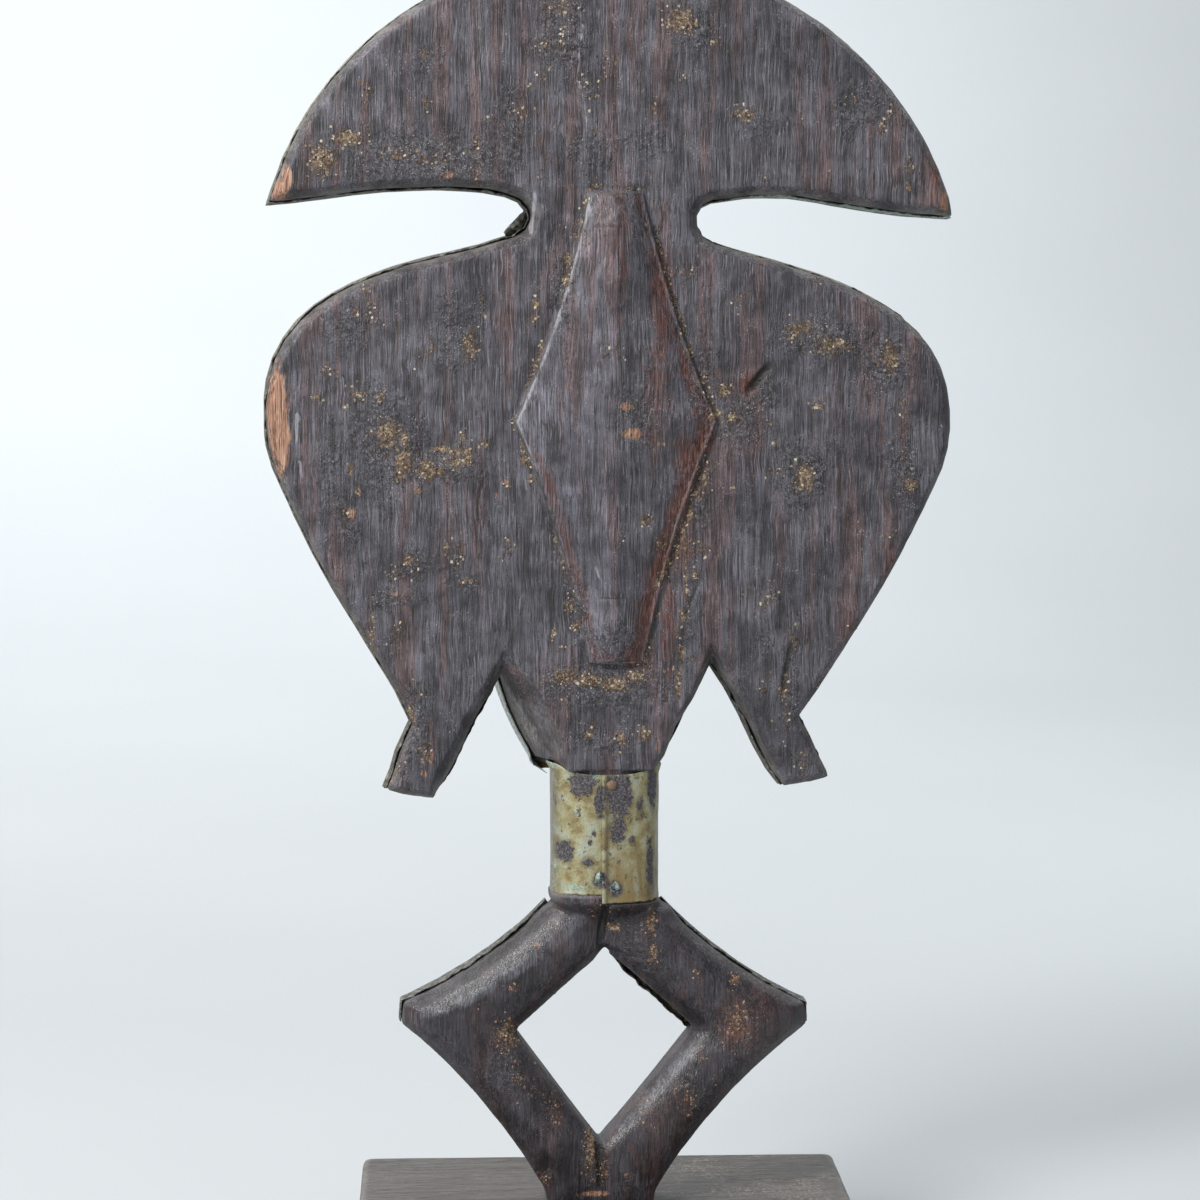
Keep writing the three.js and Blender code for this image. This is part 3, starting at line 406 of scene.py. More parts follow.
def copy_of(node, name):
    """A welded copy of a solid, free to be worked on."""
    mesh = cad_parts[node].data.copy()
    mesh.name = name
    mesh.materials.clear()
    with opened(mesh) as work:
        bmesh.ops.remove_doubles(work, verts=work.verts, dist=WELD)
    return piece_from(mesh, name)


def settle(piece):
    """Turns a piece with modifiers into its plain finished mesh."""
    graph = bpy.context.evaluated_depsgraph_get()
    mesh = bpy.data.meshes.new_from_object(piece.evaluated_get(graph))
    spent = piece.data
    piece.modifiers.clear()
    piece.data = mesh
    bpy.data.meshes.remove(spent)
    mesh.name = piece.name
    return mesh


def worked(piece, kind, **settings):
    modifier = piece.modifiers.new(kind.lower(), kind)
    for name, value in settings.items():
        setattr(modifier, name, value)
    return settle(piece)


def surface_of(node):
    """A finder of the nearest point on a solid, in metres."""
    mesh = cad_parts[node].data
    return BVHTree.FromPolygons([v.co for v in mesh.vertices], [p.vertices for p in mesh.polygons])


def away_from(surface, mesh):
    """Unit directions from a solid's surface out to each point of a thin sheet laid on it."""
    out = np.empty((len(mesh.vertices), 3))
    for i, vertex in enumerate(mesh.vertices):
        near = surface.find_nearest(vertex.co)[0]
        out[i] = (vertex.co - near).normalized()
    return out


def finish_piece(piece, material, slot, *nodes):
    piece.data.materials.clear()
    piece.data.materials.append(material)
    piece.data.polygons.foreach_set("material_index", np.zeros(len(piece.data.polygons), np.int32))
    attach(piece, "root")
    if nodes:
        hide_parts(*nodes)


def inside_relief(points):
    """How far each point lies inside the raised lozenge's outline, and its share of the way to the middle."""
    x, _, z = points.T
    upper = z > RELIEF["wide_z"]
    end_z = np.where(upper, RELIEF["top_z"], RELIEF["end_z"])
    end_half = np.where(upper, RELIEF["top"], RELIEF["end"])
    share = np.clip((z - RELIEF["wide_z"]) / (end_z - RELIEF["wide_z"]), 0, 1)
    half = RELIEF["wide"] + (end_half - RELIEF["wide"]) * share - RELIEF["bow"] * 4 * share * (1 - share)
    across = half - np.abs(x - RELIEF["x"])
    inside = np.minimum(0.92 * across, np.minimum(RELIEF["top_z"] - z, z - RELIEF["end_z"]))
    return inside, np.clip(across / half, 0, 1)


def under_collar(points):
    """Points just below the collar, drawn out so that the shoulders begin at its lower edge."""
    x, y, z = points.T
    low = np.where(x > 1.5, COLLAR["low_start"], COLLAR["low_end"])
    near = ramp(z, low - 12, low - 2) * (z < low - 0.4)
    near *= 1 - ramp(z, low - 0.9, low - 0.4)
    around = np.hypot((x - NECK["x"]) / NECK["half_width"], y / NECK["half_depth"])
    near *= ramp(around, 0.8, 0.95)
    share = 1 + 0.085 * near
    x[:] = NECK["x"] + (x - NECK["x"]) * share
    y *= share
    return points


def carved_wood():
    """The figure's wood: the solid with facets, fibres, tears and abraded arrises worked into it, and the
    marks that its colours read, painted light among them.
    """
    piece = copy_of("wooden_figure", "carved_wood")
    mesh = worked(piece, "REMESH", mode="VOXEL", voxel_size=WOOD_PITCH * MM)
    edges = edges_of(mesh)
    points = evened(read(mesh), edges, 1)
    x, y, z = points.T
    shown = ramp(y, -2, 5)
    limbs = (1 - ramp(z, 124, 140)) * (1 - ramp(np.abs(x), 78, 90))
    limbs *= ramp(np.hypot(x - 1, z - 119), 6, 18)
    rounded = evened(points, edges, 34)
    points += (rounded - points) * (0.95 * limbs * shown * ramp(z, 4, 14))[:, None]
    shoulders = ramp(z, 120, 128) * (1 - ramp(z, 139.5, 142))
    points += (evened(points, edges, 24) - points) * shoulders[:, None]
    knees = ramp(np.abs(x - 1), 78, 88) * (1 - ramp(z, 124, 140))
    points += (evened(points, edges, 14) - points) * knees[:, None]
    place(mesh, points)
    normals = read(mesh, "normal")
    apex = hump(x, 1.6, 3.2) * ramp(-normals[:, 2], 0.3, 0.8)
    z += 2.4 * apex * (np.abs(z - 118) < 9)
    points = under_collar(points)

    back = ramp(normals[:, 1], 0.2, 0.75)
    free = ramp(z, 1.5, 6)
    plank = ramp(z, *PLANK_FROM_Z)
    rough = ovals(points, ROUGH_SPOTS)
    inside, to_middle = inside_relief(points)
    right = ramp(-x, -RELIEF["x"] - 4, -RELIEF["x"] + 4)
    roof = 1.4 * to_middle * ramp(inside, 0, 2) * plank
    roof -= right * 1.5 * (1 - ramp(inside, 0, 9)) * ramp(inside, -1, 0.4) * plank
    groove = hump(inside, -1.5, 1.4) * plank
    facets = 0.44 * noise(points, (15, 40, 52), 1) + 0.18 * noise(points, (6.5, 30, 24), 2)
    fibres = 0.1 * noise(points, (1.7, 8, 15), 3, 2) + 0.05 * noise(points, (3, 3, 3), 4, 2)
    grains = np.clip(noise(points, (2.0, 2.0, 2.0), 9, 2) + 0.1, 0, 1)
    lumps = 0.5 * ovals(points, CRUST_SPOTS) * np.clip(noise(points, (2.4, 2.4, 2.4), 5, 2) + 0.25, 0, 1)
    cuts = lines(points, GOUGES) + lines(points, CRACKS)
    cuts += 0.8 * groove * (0.7 + 0.3 * noise(points, (6, 6, 9), 10))
    out = shown * (back * (facets - 0.3) + fibres) + back * (lumps + 0.9 * rough * grains + roof - cuts)
    out += (1 - plank) * shown * 0.22 * noise(points, (20, 20, 20), 6)
    out -= lines(points, CHAMFERS) * ramp(y, 6, 16)

    # The walls under the turned-back metal stand a little way in from it
    side = 1 - ramp(np.abs(normals[:, 1]), 0.35, 0.8)
    inner = (np.abs(x - 1) < 47) & (z < 252)
    tucked = side * plank * ramp(-y, -17, -10) * ramp(y, -3.5, -1.5) * ~inner
    out -= tucked * np.clip(0.5 + 0.8 * noise(points, (11, 11, 11), 7), 0, 1.2)
    sheathed = side * ramp(z, 86, 92) * (1 - ramp(z, 136, 140)) * ramp(-y, -9, -4)
    out -= 0.12 * sheathed
    out -= 2.8 * ramp(-normals[:, 1], 0.4, 0.8) * ramp(-y, 13, 16)

    # Nicks and wear take most from the arrises that face out
    proud = np.einsum("ij,ij->i", points - evened(points, edges, 8), normals)
    arris = ramp(proud, 0.1, 0.4) * ramp(y, 3, 9)
    nicks = np.clip(noise(points, (4, 4, 7), 8, 2) - 0.2, 0, 1)
    out -= arris * (0.1 + 1.2 * nicks) * (1 - ramp(np.abs(inside), 6, 3) * plank)
    points += normals * (free * out)[:, None]
    place(mesh, points)
    # Outward arrises, which the material makes lighter: partly wear, partly painted highlight
    mark(mesh, "arris", arris)

    # The wood that the metal hides is made coarser first, and then all of it, to keep within the triangles
    hidden = piece.vertex_groups.new(name="hidden")
    covered = np.flatnonzero((y < -1.5) & (z > 235))
    hidden.add(covered.tolist(), 1.0, "REPLACE")
    for limits in ({"vertex_group": "hidden", "vertex_group_factor": 1.0}, {}):
        triangles = sum(len(p.vertices) - 2 for p in mesh.polygons)
        if triangles > WOOD_TRIANGLES:
            mesh = worked(piece, "DECIMATE", ratio=WOOD_TRIANGLES / triangles, **limits)
    points = read(mesh)
    x, y, z = points.T
    normals = read(mesh, "normal")
    back = ramp(normals[:, 1], -0.25, 0.3)
    plank = ramp(z, *PLANK_FROM_Z)
    inside, to_middle = inside_relief(points)
    left = ramp(x, RELIEF["x"] - 3, RELIEF["x"] + 3)
    # A painted highlight along the raised lozenge's left arris, the side that faces the light
    lit_edge_highlight = hump(inside, 0.6, 0.5) + 0.35 * hump(inside, 2.2, 2.2)
    lit_edge_highlight *= 0.8 * left * (0.3 + 0.7 * ramp(z, 340, 362))
    lit_edge_highlight *= 0.8 + 0.6 * noise(points, (3, 9, 7), 13)
    lit_edge_highlight *= 1 - ramp(z, 459, 462)
    groove = hump(inside, -1.7, 1.5) * ramp(noise(points, (7, 9, 13), 12, 2), -0.25, 0.35)
    scattered = 0.4 * ramp(noise(points, (13, 13, 21), 15, 3), 0.3, 0.62)
    # The lozenge's painted edge highlight, together with the light scratches
    mark(mesh, "wear_and_highlight", np.maximum(lit_edge_highlight * plank, back * 0.9 * lines(points, SCRATCHES)))
    crust = np.maximum(ovals(points, CRUST_SPOTS), 0.62 * groove * plank)
    mark(mesh, "crust", back * np.maximum(crust, scattered))
    dusty = np.maximum(0.6 * groove * plank, scattered)
    mark(mesh, "rough", back * np.maximum(ovals(points, ROUGH_SPOTS), dusty))
    mark(mesh, "bare", back * ovals(points, BARE_SPOTS))
    bevel = (1 - left) * hump(inside, 3.2, 3.4) * ramp(z, 246, 262) * plank
    bevel *= 1 - 0.55 * ramp(z, 372, 396)
    low_left = 0.55 * left * hump(inside, 3, 3) * (1 - ramp(z, 340, 362)) * plank
    mark(mesh, "red", back * np.maximum(ovals(points, RED_SPOTS), np.maximum(bevel, low_left)))
    mark(mesh, "tear", back * (lines(points, GOUGES) + 2 * lines(points, CRACKS)))
    mark(mesh, "limb", 1 - ramp(z, 138, 150))
    # The limbs' highlight streaks, to be painted in a light bluish colour
    mark(mesh, "painted_limb_highlight", back * lines(points, LIMB_HIGHLIGHT_STREAKS))
    # Painted light on the shaded chin facet; the same lighter tone, fainter, on the left notch's last
    # chamfers
    painted_facet_light = 1.6 * lines(points, PAINTED_LIGHT_FACETS) + 0.22 * lines(points, CHAMFERS[2:])
    mark(mesh, "painted_facet_light", ramp(y, -6, 0) * np.clip(painted_facet_light, 0, 1))
    # Painted light: the raised lozenge's left half, which faces the light, is marked for a lighter colour
    mark(mesh, "pale", back * left * ramp(inside, -0.5, 1.5) * plank)
    mark(mesh, "wall", 1 - ramp(np.abs(normals[:, 1]), 0.45, 0.8))
    mesh.shade_smooth()
    return piece


def grid_mesh(name, rows, closed_round=False, ends=(None, None)):
    """A mesh over equal rows of points, joined end to end if closed, and capped by two points if given."""
    count = len(rows[0])
    points = [p for row in rows for p in row]
    span = count if closed_round else count - 1
    faces = []
    for i in range(len(rows) - 1):
        for j in range(span):
            k = (j + 1) % count
            faces.append((i * count + j, i * count + k, (i + 1) * count + k, (i + 1) * count + j))
    for row, end in ((0, ends[0]), (len(rows) - 1, ends[1])):
        if end is None:
            continue
        points.append(end)
        tip = len(points) - 1
        for j in range(span):
            pair = (row * count + (j + 1) % count, row * count + j)
            faces.append((*(pair if row == 0 else pair[::-1]), tip))
    mesh = bpy.data.meshes.new(name)
    mesh.from_pydata([(0.0, 0.0, 0.0)] * len(points), [], faces)
    place(mesh, np.array(points, float))
    return mesh


def facing_out(mesh):
    with opened(mesh) as work:
        bmesh.ops.recalc_face_normals(work, faces=work.faces)


def neck_point(turn, grow):
    """x and y on the neck's rounded section. turn is counted in degrees from the back towards the right."""
    bend = 2 / NECK["roundness"]
    across, along = np.sin(np.radians(turn)), np.cos(np.radians(turn))
    x = NECK["x"] - (NECK["half_width"] + grow) * np.sign(across) * np.abs(across) ** bend
    y = (NECK["half_depth"] + grow) * np.sign(along) * np.abs(along) ** bend
    return x, y


def collar_top(turn):
    across = np.sin(np.radians(turn))
    left = np.maximum(-across, 0)
    rise = COLLAR_TOP["back"] * np.cos(np.radians(turn))
    return COLLAR_TOP["z"] + rise + COLLAR_TOP["sides"] * across**2 + COLLAR_TOP["left"] * left**4


def neck_collar():
    """A strip of sheet brass round the neck, its right end lapped over its left end at the back."""
    columns, rows = ((330, 76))
    share, up = np.meshgrid(np.linspace(0, 1, columns), np.linspace(0, 1, rows))
    share, up = share.ravel(), up.ravel()
    turn = COLLAR["start"] + (COLLAR["end"] - COLLAR["start"]) * share
    from_end = (turn - COLLAR["end"]) / COLLAR["rise"]
    lift = GAP + SHEET / 2 + (GAP + SHEET) * (1 - np.clip(from_end - 0.5, 0, 1))
    spot = np.stack([turn * 0.42, np.zeros_like(turn), up * 54], 1)
    ragged = noise(np.stack([turn * 0.42, turn * 0, turn * 0 + 3], 1), (3.2, 9, 9), 21, 2)
    ragged_top = noise(np.stack([turn * 0.42, turn * 0, turn * 0 + 40], 1), (4.0, 9, 9), 22, 2)
    low = COLLAR["low_start"] + (COLLAR["low_end"] - COLLAR["low_start"]) * share + 0.7 * ragged
    high = collar_top(turn) + 0.9 * ramp(np.cos(np.radians(turn)), 0, 0.8) + 0.35 * ragged_top
    z = low + (high - low) * up
    dents = 0.45 * np.clip(noise(spot, (11, 9, 15), 23) + 0.1, 0, 1)
    dents = dents + 0.12 * (noise(spot, (3, 9, 4), 24) + 1) / 2
    flare_left = 2.6 * hump(turn, -78, 15) * ramp(up, 0.9, 1)
    flare_right = 1.1 * hump(turn, -280, 12) * ramp(up, 0.92, 1)
    free_end = 0.5 * ramp(share, 0.985, 1.0) * (0.4 + 0.6 * ramp(noise(spot, (5, 5, 7), 25), -0.3, 0.6))
    edge = 0.2 * (1 - ramp(up, 0, 0.04))
    x, y = neck_point(turn, lift + dents + flare_left + flare_right + free_end + edge)
    points = np.stack([x, y, z], 1).reshape(rows, columns, 3)
    piece = piece_from(grid_mesh("brass_collar", list(points)), "brass_collar")
    worked(piece, "SOLIDIFY", thickness=SHEET * MM, offset=0.0, use_even_offset=True)
    mesh = piece.data
    facing_out(mesh)
    points = read(mesh)
    x, y, _ = points.T
    back = ramp(y, 2, 10)
    mark(mesh, "dark", back * ovals(points, COLLAR_DARK))
    mark(mesh, "green", back * ovals(points, COLLAR_GREEN))
    # The collar's sides, where it turns away from the light: marked for a darker grey-green, partly patina
    # and partly painted shade
    mark(mesh, "side", 1 - ramp(y, 4, 17))
    # A painted shadow line beside the edge where the collar's right end laps over its left end
    mark(mesh, "seam", hump(x, 1.5, 0.7) * back)
    mesh.shade_smooth()
    return piece


def tack_head(node, name, sides, radius, rise):
    """A tack's hammered head on its shank, where the solid has it."""
    low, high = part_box(node)
    middle = (low + high) / 2 / MM
    x, z = middle.x - FIGURE_X, middle.z - FOOT_Z
    base = high.y / MM - rise
    angles = np.linspace(0, 2 * np.pi, TACK_COLUMNS, endpoint=False)
    if sides == 3:
        wedge = 2 * np.pi / 3
        corner = np.cos(wedge / 2) / np.cos(np.mod(angles - np.pi / 2, wedge) - wedge / 2)
        outline = radius * (0.4 * corner + 0.45)
    else:
        outline = radius * (1 + 0.05 * np.sin(3 * angles + 1) + 0.04 * np.sin(5 * angles))
    profile = [(0.12, 1.0), (0.4, 0.95), (0.66, 0.78), (0.86, 0.5), (0.97, 0.2), (1.0, 0.0)]
    rows = []
    for share, up in profile:
        row_x = x + outline * share * np.cos(angles)
        row_z = z + outline * share * np.sin(angles)
        rows.append(np.stack([row_x, np.full(TACK_COLUMNS, base + rise * up), row_z], 1))
    for reach, depth in ((0.7, 0.0), (0.7, 0.5 - TACK_SHANK), (0.15, -TACK_SHANK)):
        row_x, row_z = x + reach * np.cos(angles), z + reach * np.sin(angles)
        rows.append(np.stack([row_x, np.full(TACK_COLUMNS, base + depth), row_z], 1))
    ends = ((x, base + rise, z), (x, base - TACK_SHANK, z))
    mesh = grid_mesh(name, rows, closed_round=True, ends=ends)
    facing_out(mesh)
    points = read(mesh)
    lumps = 0.1 * noise(points, (1.1, 1.1, 1.1), 31) * ramp(points[:, 1], base + 0.2, base + rise)
    place(mesh, points - (0, 1, 0) * np.abs(lumps)[:, None])
    mesh.shade_smooth()
    return piece_from(mesh, name)


def wooden_plinth():
    """The plinth, with its corners abraded and its faces a little uneven."""
    piece = copy_of("plinth", "wooden_plinth")
    mesh = worked(piece, "REMESH", mode="VOXEL", voxel_size=PLINTH_PITCH * MM)
    edges = edges_of(mesh)
    points = evened(read(mesh), edges, 1)
    place(mesh, points)
    normals = read(mesh, "normal")
    proud = np.einsum("ij,ij->i", points - evened(points, edges, 6), normals)
    arris = ramp(proud, 0.1, 0.6)
    top = ramp(points[:, 2], -26, -20)
    uneven = 0.12 * noise(points, (60, 14, 14), 41) + 0.05 * noise(points, (20, 3, 3), 42)
    nicks = np.clip(noise(points, (6, 6, 6), 43, 2) - 0.2, 0, 1)
    points -= normals * (top * (0.17 - uneven + arris * (0.25 + 1.4 * nicks)))[:, None]
    points[:, 2] = np.clip(points[:, 2], -FOOT_Z, -GAP)
    place(mesh, points)
    mark(mesh, "arris", arris)
    mesh.shade_smooth()
    return piece


def sliced(piece, pitch):
    """Cuts a mesh along evenly spaced planes, so that it has points to work everywhere."""
    step = pitch * MM
    with opened(piece.data) as work:
        for axis in (0, 2, 1):
            spread = [v.co[axis] for v in work.verts]
            at = min(spread) + step * 0.6
            while at < max(spread):
                spot, across = Vector(), Vector()
                spot[axis], across[axis] = at, 1.0
                parts = work.verts[:] + work.edges[:] + work.faces[:]
                bmesh.ops.bisect_plane(work, geom=parts, dist=1e-6, plane_co=spot, plane_no=across)
                at += step
        bmesh.ops.triangulate(work, faces=work.faces)


def from_rim(points, lip):
    """Distance of each point from the sheet's turned edge, seen from the front."""
    rim = points[lip][:, [0, 2]]
    tree = KDTree(len(rim))
    for i, (x, z) in enumerate(rim):
        tree.insert((x, 0, z), i)
    tree.balance()
    return np.array([tree.find((x, 0, z))[2] for x, z in points[:, [0, 2]]])


def kept_inside(points):
    """Points drawn in to the whole object's outer measure."""
    low, high = (np.array(corner) / MM - (FIGURE_X, 0, FOOT_Z) for corner in cad_box)
    return np.clip(points, low + 0.02, high - 0.02)


def beaten_sheet(node, name, surface):
    """A plank's sheet metal: two raised lines run round inside its turned-back, crimped edge."""
    piece = copy_of(node, name)
    sliced(piece, SHEET_PITCH)
    mesh = piece.data
    points = read(mesh)
    x, y, z = points.T
    out = away_from(surface, mesh)
    lip = y > FRONT_Y - 0.2
    inside = from_rim(points, lip & (y > 4))
    front = 1 - ramp(y, -1.2, 0.2)
    raised = 0.8 * hump(inside, 6.5, 1.5) + 0.8 * hump(inside, 16, 1.5)
    hammered = 0.16 * (1 + noise(points, (7, 50, 7), 51)) + 0.3 * (1 + noise(points, (34, 50, 34), 52))
    turned = ramp(y, 0, 5)
    pinch = np.clip(0.3 + 0.9 * noise(points, (3.6, 60, 3.6), 53, 2), -0.25, 1)
    rise = front * (raised + hammered) - turned * 1.05 * pinch
    points += out * rise[:, None]
    seam = hump(z, SHEET_SEAM_Z, 0.8) * turned * (np.abs(x) < 50)
    z += 0.24 * seam * np.sign(SHEET_SEAM_Z - z)
    rim = ramp(y, 3.5, 6.6)
    y += rim * (1.3 * noise(points, (6, 80, 6), 54, 2) - 0.3)
    points[:] = kept_inside(points)
    place(mesh, points)
    mark(mesh, "rim", ramp(y, -1.3, 0.6))
    green = 0.7 * (node == "crest_sheet") * ramp(-x, 48, 62) * ramp(-z, -472, -466)
    mark(mesh, "green", green * ramp(y, -1.5, 1.5))
    mesh.shade_smooth()
    return piece


def torn_tongue():
    """A tongue of the panel's turned-back metal, torn loose at the left notch and bent over its end."""
    columns, rows = 30, 14
    along, up = np.meshgrid(np.linspace(0, 1, columns), np.linspace(0, 1, rows))
    along, up = along.ravel(), up.ravel()
    spot = np.stack([along * 14, up * 5, along * 0], 1)
    root, free = (
        np.stack([np.interp(along, np.linspace(0, 1, len(line)), values) for values in zip(*line)], 1)
        for line in TONGUE
    )
    at = root + (free - root) * up[:, None] + 0.35 * noise(spot, (2.5, 3, 9), 72)[:, None] * up[:, None]
    y = 2.5 + 4.2 * np.sin(1.9 * up) + 0.5 * noise(spot, (4, 3, 9), 71)
    points = np.stack([at[:, 0], y, at[:, 1]], 1).reshape(rows, columns, 3)
    piece = piece_from(grid_mesh("torn_tongue", list(points)), "torn_tongue")
    worked(piece, "SOLIDIFY", thickness=SHEET * MM, offset=0.0)
    mesh = piece.data
    facing_out(mesh)
    mark(mesh, "rim", np.ones(len(mesh.vertices)))
    mark(mesh, "green", np.zeros(len(mesh.vertices)))
    mesh.shade_smooth()
    return piece


def limb_sheet(node, name, surface):
    """Sheet metal over the front of an upper limb, turned back over both edges in a scalloped line."""
    piece = copy_of(node, name)
    sliced(piece, SHEET_PITCH * 0.8)
    mesh = piece.data
    points = read(mesh)
    x, y, z = points.T
    out = away_from(surface, mesh)
    front = 1 - ramp(y, -9, -4)
    turned = ramp(y, -2, 4)
    scallops = noise(points, (3.6, 60, 3.6), 57, 2)
    loose = (np.abs(x) < 44) & (z < 118) & (out[:, 2] < 0.2) & (node == "limb_sheet_right")
    reach = np.where(loose, (1.9 + 1.0 * scallops) * (1 - ramp(z, 106, 114)), 0.1 + 0.8 * scallops)
    hanging = np.where(loose, ramp(y, -15, -7), turned)
    rise = front * 0.14 * (1 + noise(points, (6, 6, 6), 56)) + hanging * reach
    points += out * rise[:, None]
    rim = ramp(y, 0, 4.6)
    y += rim * (2.6 * noise(points, (4.2, 80, 4.2), 58, 2) + 0.2)
    outer_side = ramp(out[:, 2], -0.1, 0.4) * turned
    at_collar = ramp(z, 128, 139) * (out[:, 2] > 0)
    near_end = np.maximum(at_collar, 1 - ramp(z, 84, 92))
    y -= outer_side * 2.4 + turned * (near_end * 3.0 + at_collar * 5.0)
    points -= out * (0.5 * near_end * turned)[:, None]
    tip = ramp(z, 133, 140)
    points += np.stack([-1.4 * np.sign(x) * tip, 0 * tip, 1.8 * tip], 1)
    place(mesh, points)
    mark(mesh, "rim", ramp(y, -13, -7))
    mesh.shade_smooth()
    return piece


def face_share(x, z):
    """A point's distance from the face's middle, as a share of the distance to its rim."""
    return np.hypot((x - FACE["x"]) / FACE["half_width"], (z - FACE["z"]) / FACE["half_height"])


def dish_y(share):
    return FACE["rim_y"] + FACE["dish"] * (1 - share * share)


def dome(x, z, middle_x, middle_z, half_width, half_height):
    off = ((x - middle_x) / half_width) ** 2 + ((z - middle_z) / half_height) ** 2
    return np.sqrt(np.clip(1 - off, 0, 1))


def face_rise(x, z):
    """How far the face's sheet is raised at a point: nose, brows, eyes, mouth and strips side by side."""
    dx = x - FACE["x"]
    down = np.clip((352 - z) / 46, 0, 1)
    half = 3.2 + 6.4 * down
    nose = (1.0 + 7.8 * down) * (1 - ramp(np.abs(dx) / half, 0.25, 1.0))
    nose = nose * ramp(z, 303, 308) * (1 - ramp(z, 351, 357))
    brow_z = 362 - 0.009 * dx**2
    brows = 2.0 * hump(z, brow_z, 2.2) * ramp(np.abs(dx), 4, 8) * (1 - ramp(np.abs(dx), 38, 44))
    eyes = sum(4.6 * dome(x, z, FACE["x"] + s * 25, 346, 10, 8.4) for s in (-1, 1))
    lids = 1 - 0.3 * hump(z, 345, 0.9) * (eyes > 0.4)
    mouth = 3.0 * dome(x, z, FACE["x"], 272, 13, 4.2) * (1 - 0.55 * hump(z, 272, 0.9))
    band = 0.9 * (1 - ramp(np.abs(dx), 4.2, 5.4)) * ramp(z, 356, 360)
    strips = 0.7 * np.abs(np.sin(np.pi * (z - 0.12 * np.abs(dx)) / 5.2)) ** 0.6 * ramp(np.abs(dx), 5.5, 7)
    plain = np.clip(eyes + mouth + nose, 0, 1)
    return nose + brows + eyes * lids + mouth + band + strips * (1 - plain)


def face_sheet():
    """The face: a dished oval of beaten metal with strips laid across it, turned back round its rim."""
    around, across = ((224, 84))
    angles = np.linspace(0, 2 * np.pi, around, endpoint=False)

    def ring(share, y, grow=0.0):
        x = FACE["x"] + (FACE["half_width"] * share + grow) * np.cos(angles)
        z = FACE["z"] + (FACE["half_height"] * share + grow) * np.sin(angles)
        return np.stack([x, np.full(around, y), z], 1)

    def skin(share, depth):
        row = ring(share, 0.0)
        edge = 1 - ramp(np.full(around, share), 0.9, 0.955)
        row[:, 1] = dish_y(share) - depth - edge * face_rise(row[:, 0], row[:, 2])
        return row

    shares = np.linspace(0.02, 0.955, across)
    outer = GAP + SHEET
    lip_y = FACE["rim_y"] + FACE["lip"]
    rows = [skin(share, outer) for share in shares]
    rows += [ring(1, FACE["rim_y"] - outer, grow) for grow in (-1.0, -0.3)]
    rows += [ring(1, FACE["rim_y"] - outer + step, grow) for step, grow in ((0.3, 0.5), (1.9, outer))]
    lip = np.linspace(FACE["rim_y"] + 2, lip_y, 13)
    drawn_in = -FACE["block_slope"] * np.clip(lip - FACE["rim_y"] - 6, 0, 40)
    rows += [ring(1, y, outer + grow) for y, grow in zip(lip, drawn_in)]
    rows += [ring(1, y, GAP + grow) for y, grow in zip(lip[::-1], drawn_in[::-1])]
    rows += [ring(1, FACE["rim_y"] + 1, GAP), ring(1, FACE["rim_y"] - GAP, -1.2)]
    rows += [skin(share, GAP) for share in shares[::-1]]
    front = dish_y(0) - face_rise(FACE["x"], FACE["z"])
    middle = [(FACE["x"], front - depth, FACE["z"]) for depth in (outer, GAP)]
    mesh = grid_mesh("face_metal", rows, closed_round=True, ends=middle)
    facing_out(mesh)
    points = read(mesh)
    x, y, z = points.T
    out = np.stack([x - FACE["x"], 0 * x, (z - FACE["z"]) * 0.18], 1)
    out /= np.maximum(np.linalg.norm(out, axis=1), 1e-6)[:, None]
    off_middle = face_share(x, z)
    turned = ramp(y, FACE["rim_y"] + 3, lip_y) * (off_middle > 0.95)
    lower_left = ramp(x, 12, 22) * ramp(-z, -262, -250)
    curl = 2.4 * hump(z, 204, 3.2) * (x > 10)
    flare = lower_left * 0.3 * ramp(y, -16, lip_y)
    points += out * (turned * (curl + 0.25 * noise(points, (4, 50, 6), 61)) + flare)[:, None]
    y += turned * 1.6 * noise(points, (6, 80, 8), 62, 2)
    place(mesh, points)
    with opened(mesh) as work:
        parts = work.verts[:] + work.edges[:] + work.faces[:]
        level = (0, 0, (FOOT_Z + FACE_END_Z) * MM)
        cut = bmesh.ops.bisect_plane(work, geom=parts, plane_co=level, plane_no=(0, 0, -1), clear_outer=True)
        rim = [part for part in cut["geom_cut"] if isinstance(part, bmesh.types.BMEdge)]
        bmesh.ops.triangle_fill(work, edges=rim, use_beauty=True)
        bmesh.ops.recalc_face_normals(work, faces=work.faces)
    points = read(mesh)
    x, y, z = points.T
    off_middle = face_share(x, z)
    at_rim = off_middle > 0.955
    mark(mesh, "rim", ramp(y, FACE["rim_y"] + 1, FACE["rim_y"] + 4) * at_rim)
    # The face's rim strip beside the chin: pale grey-green metal, made lighter still as painted light where
    # the pendants shade it
    lit_strip_beside_chin = ramp(x, 12, 22) * ramp(-z, -262, -250) * at_rim
    mark(mesh, "pale", lit_strip_beside_chin * ramp(y, FACE["rim_y"] + 1, FACE["rim_y"] + 4))
    mesh.shade_smooth()
    return piece_from(mesh, "face_metal")


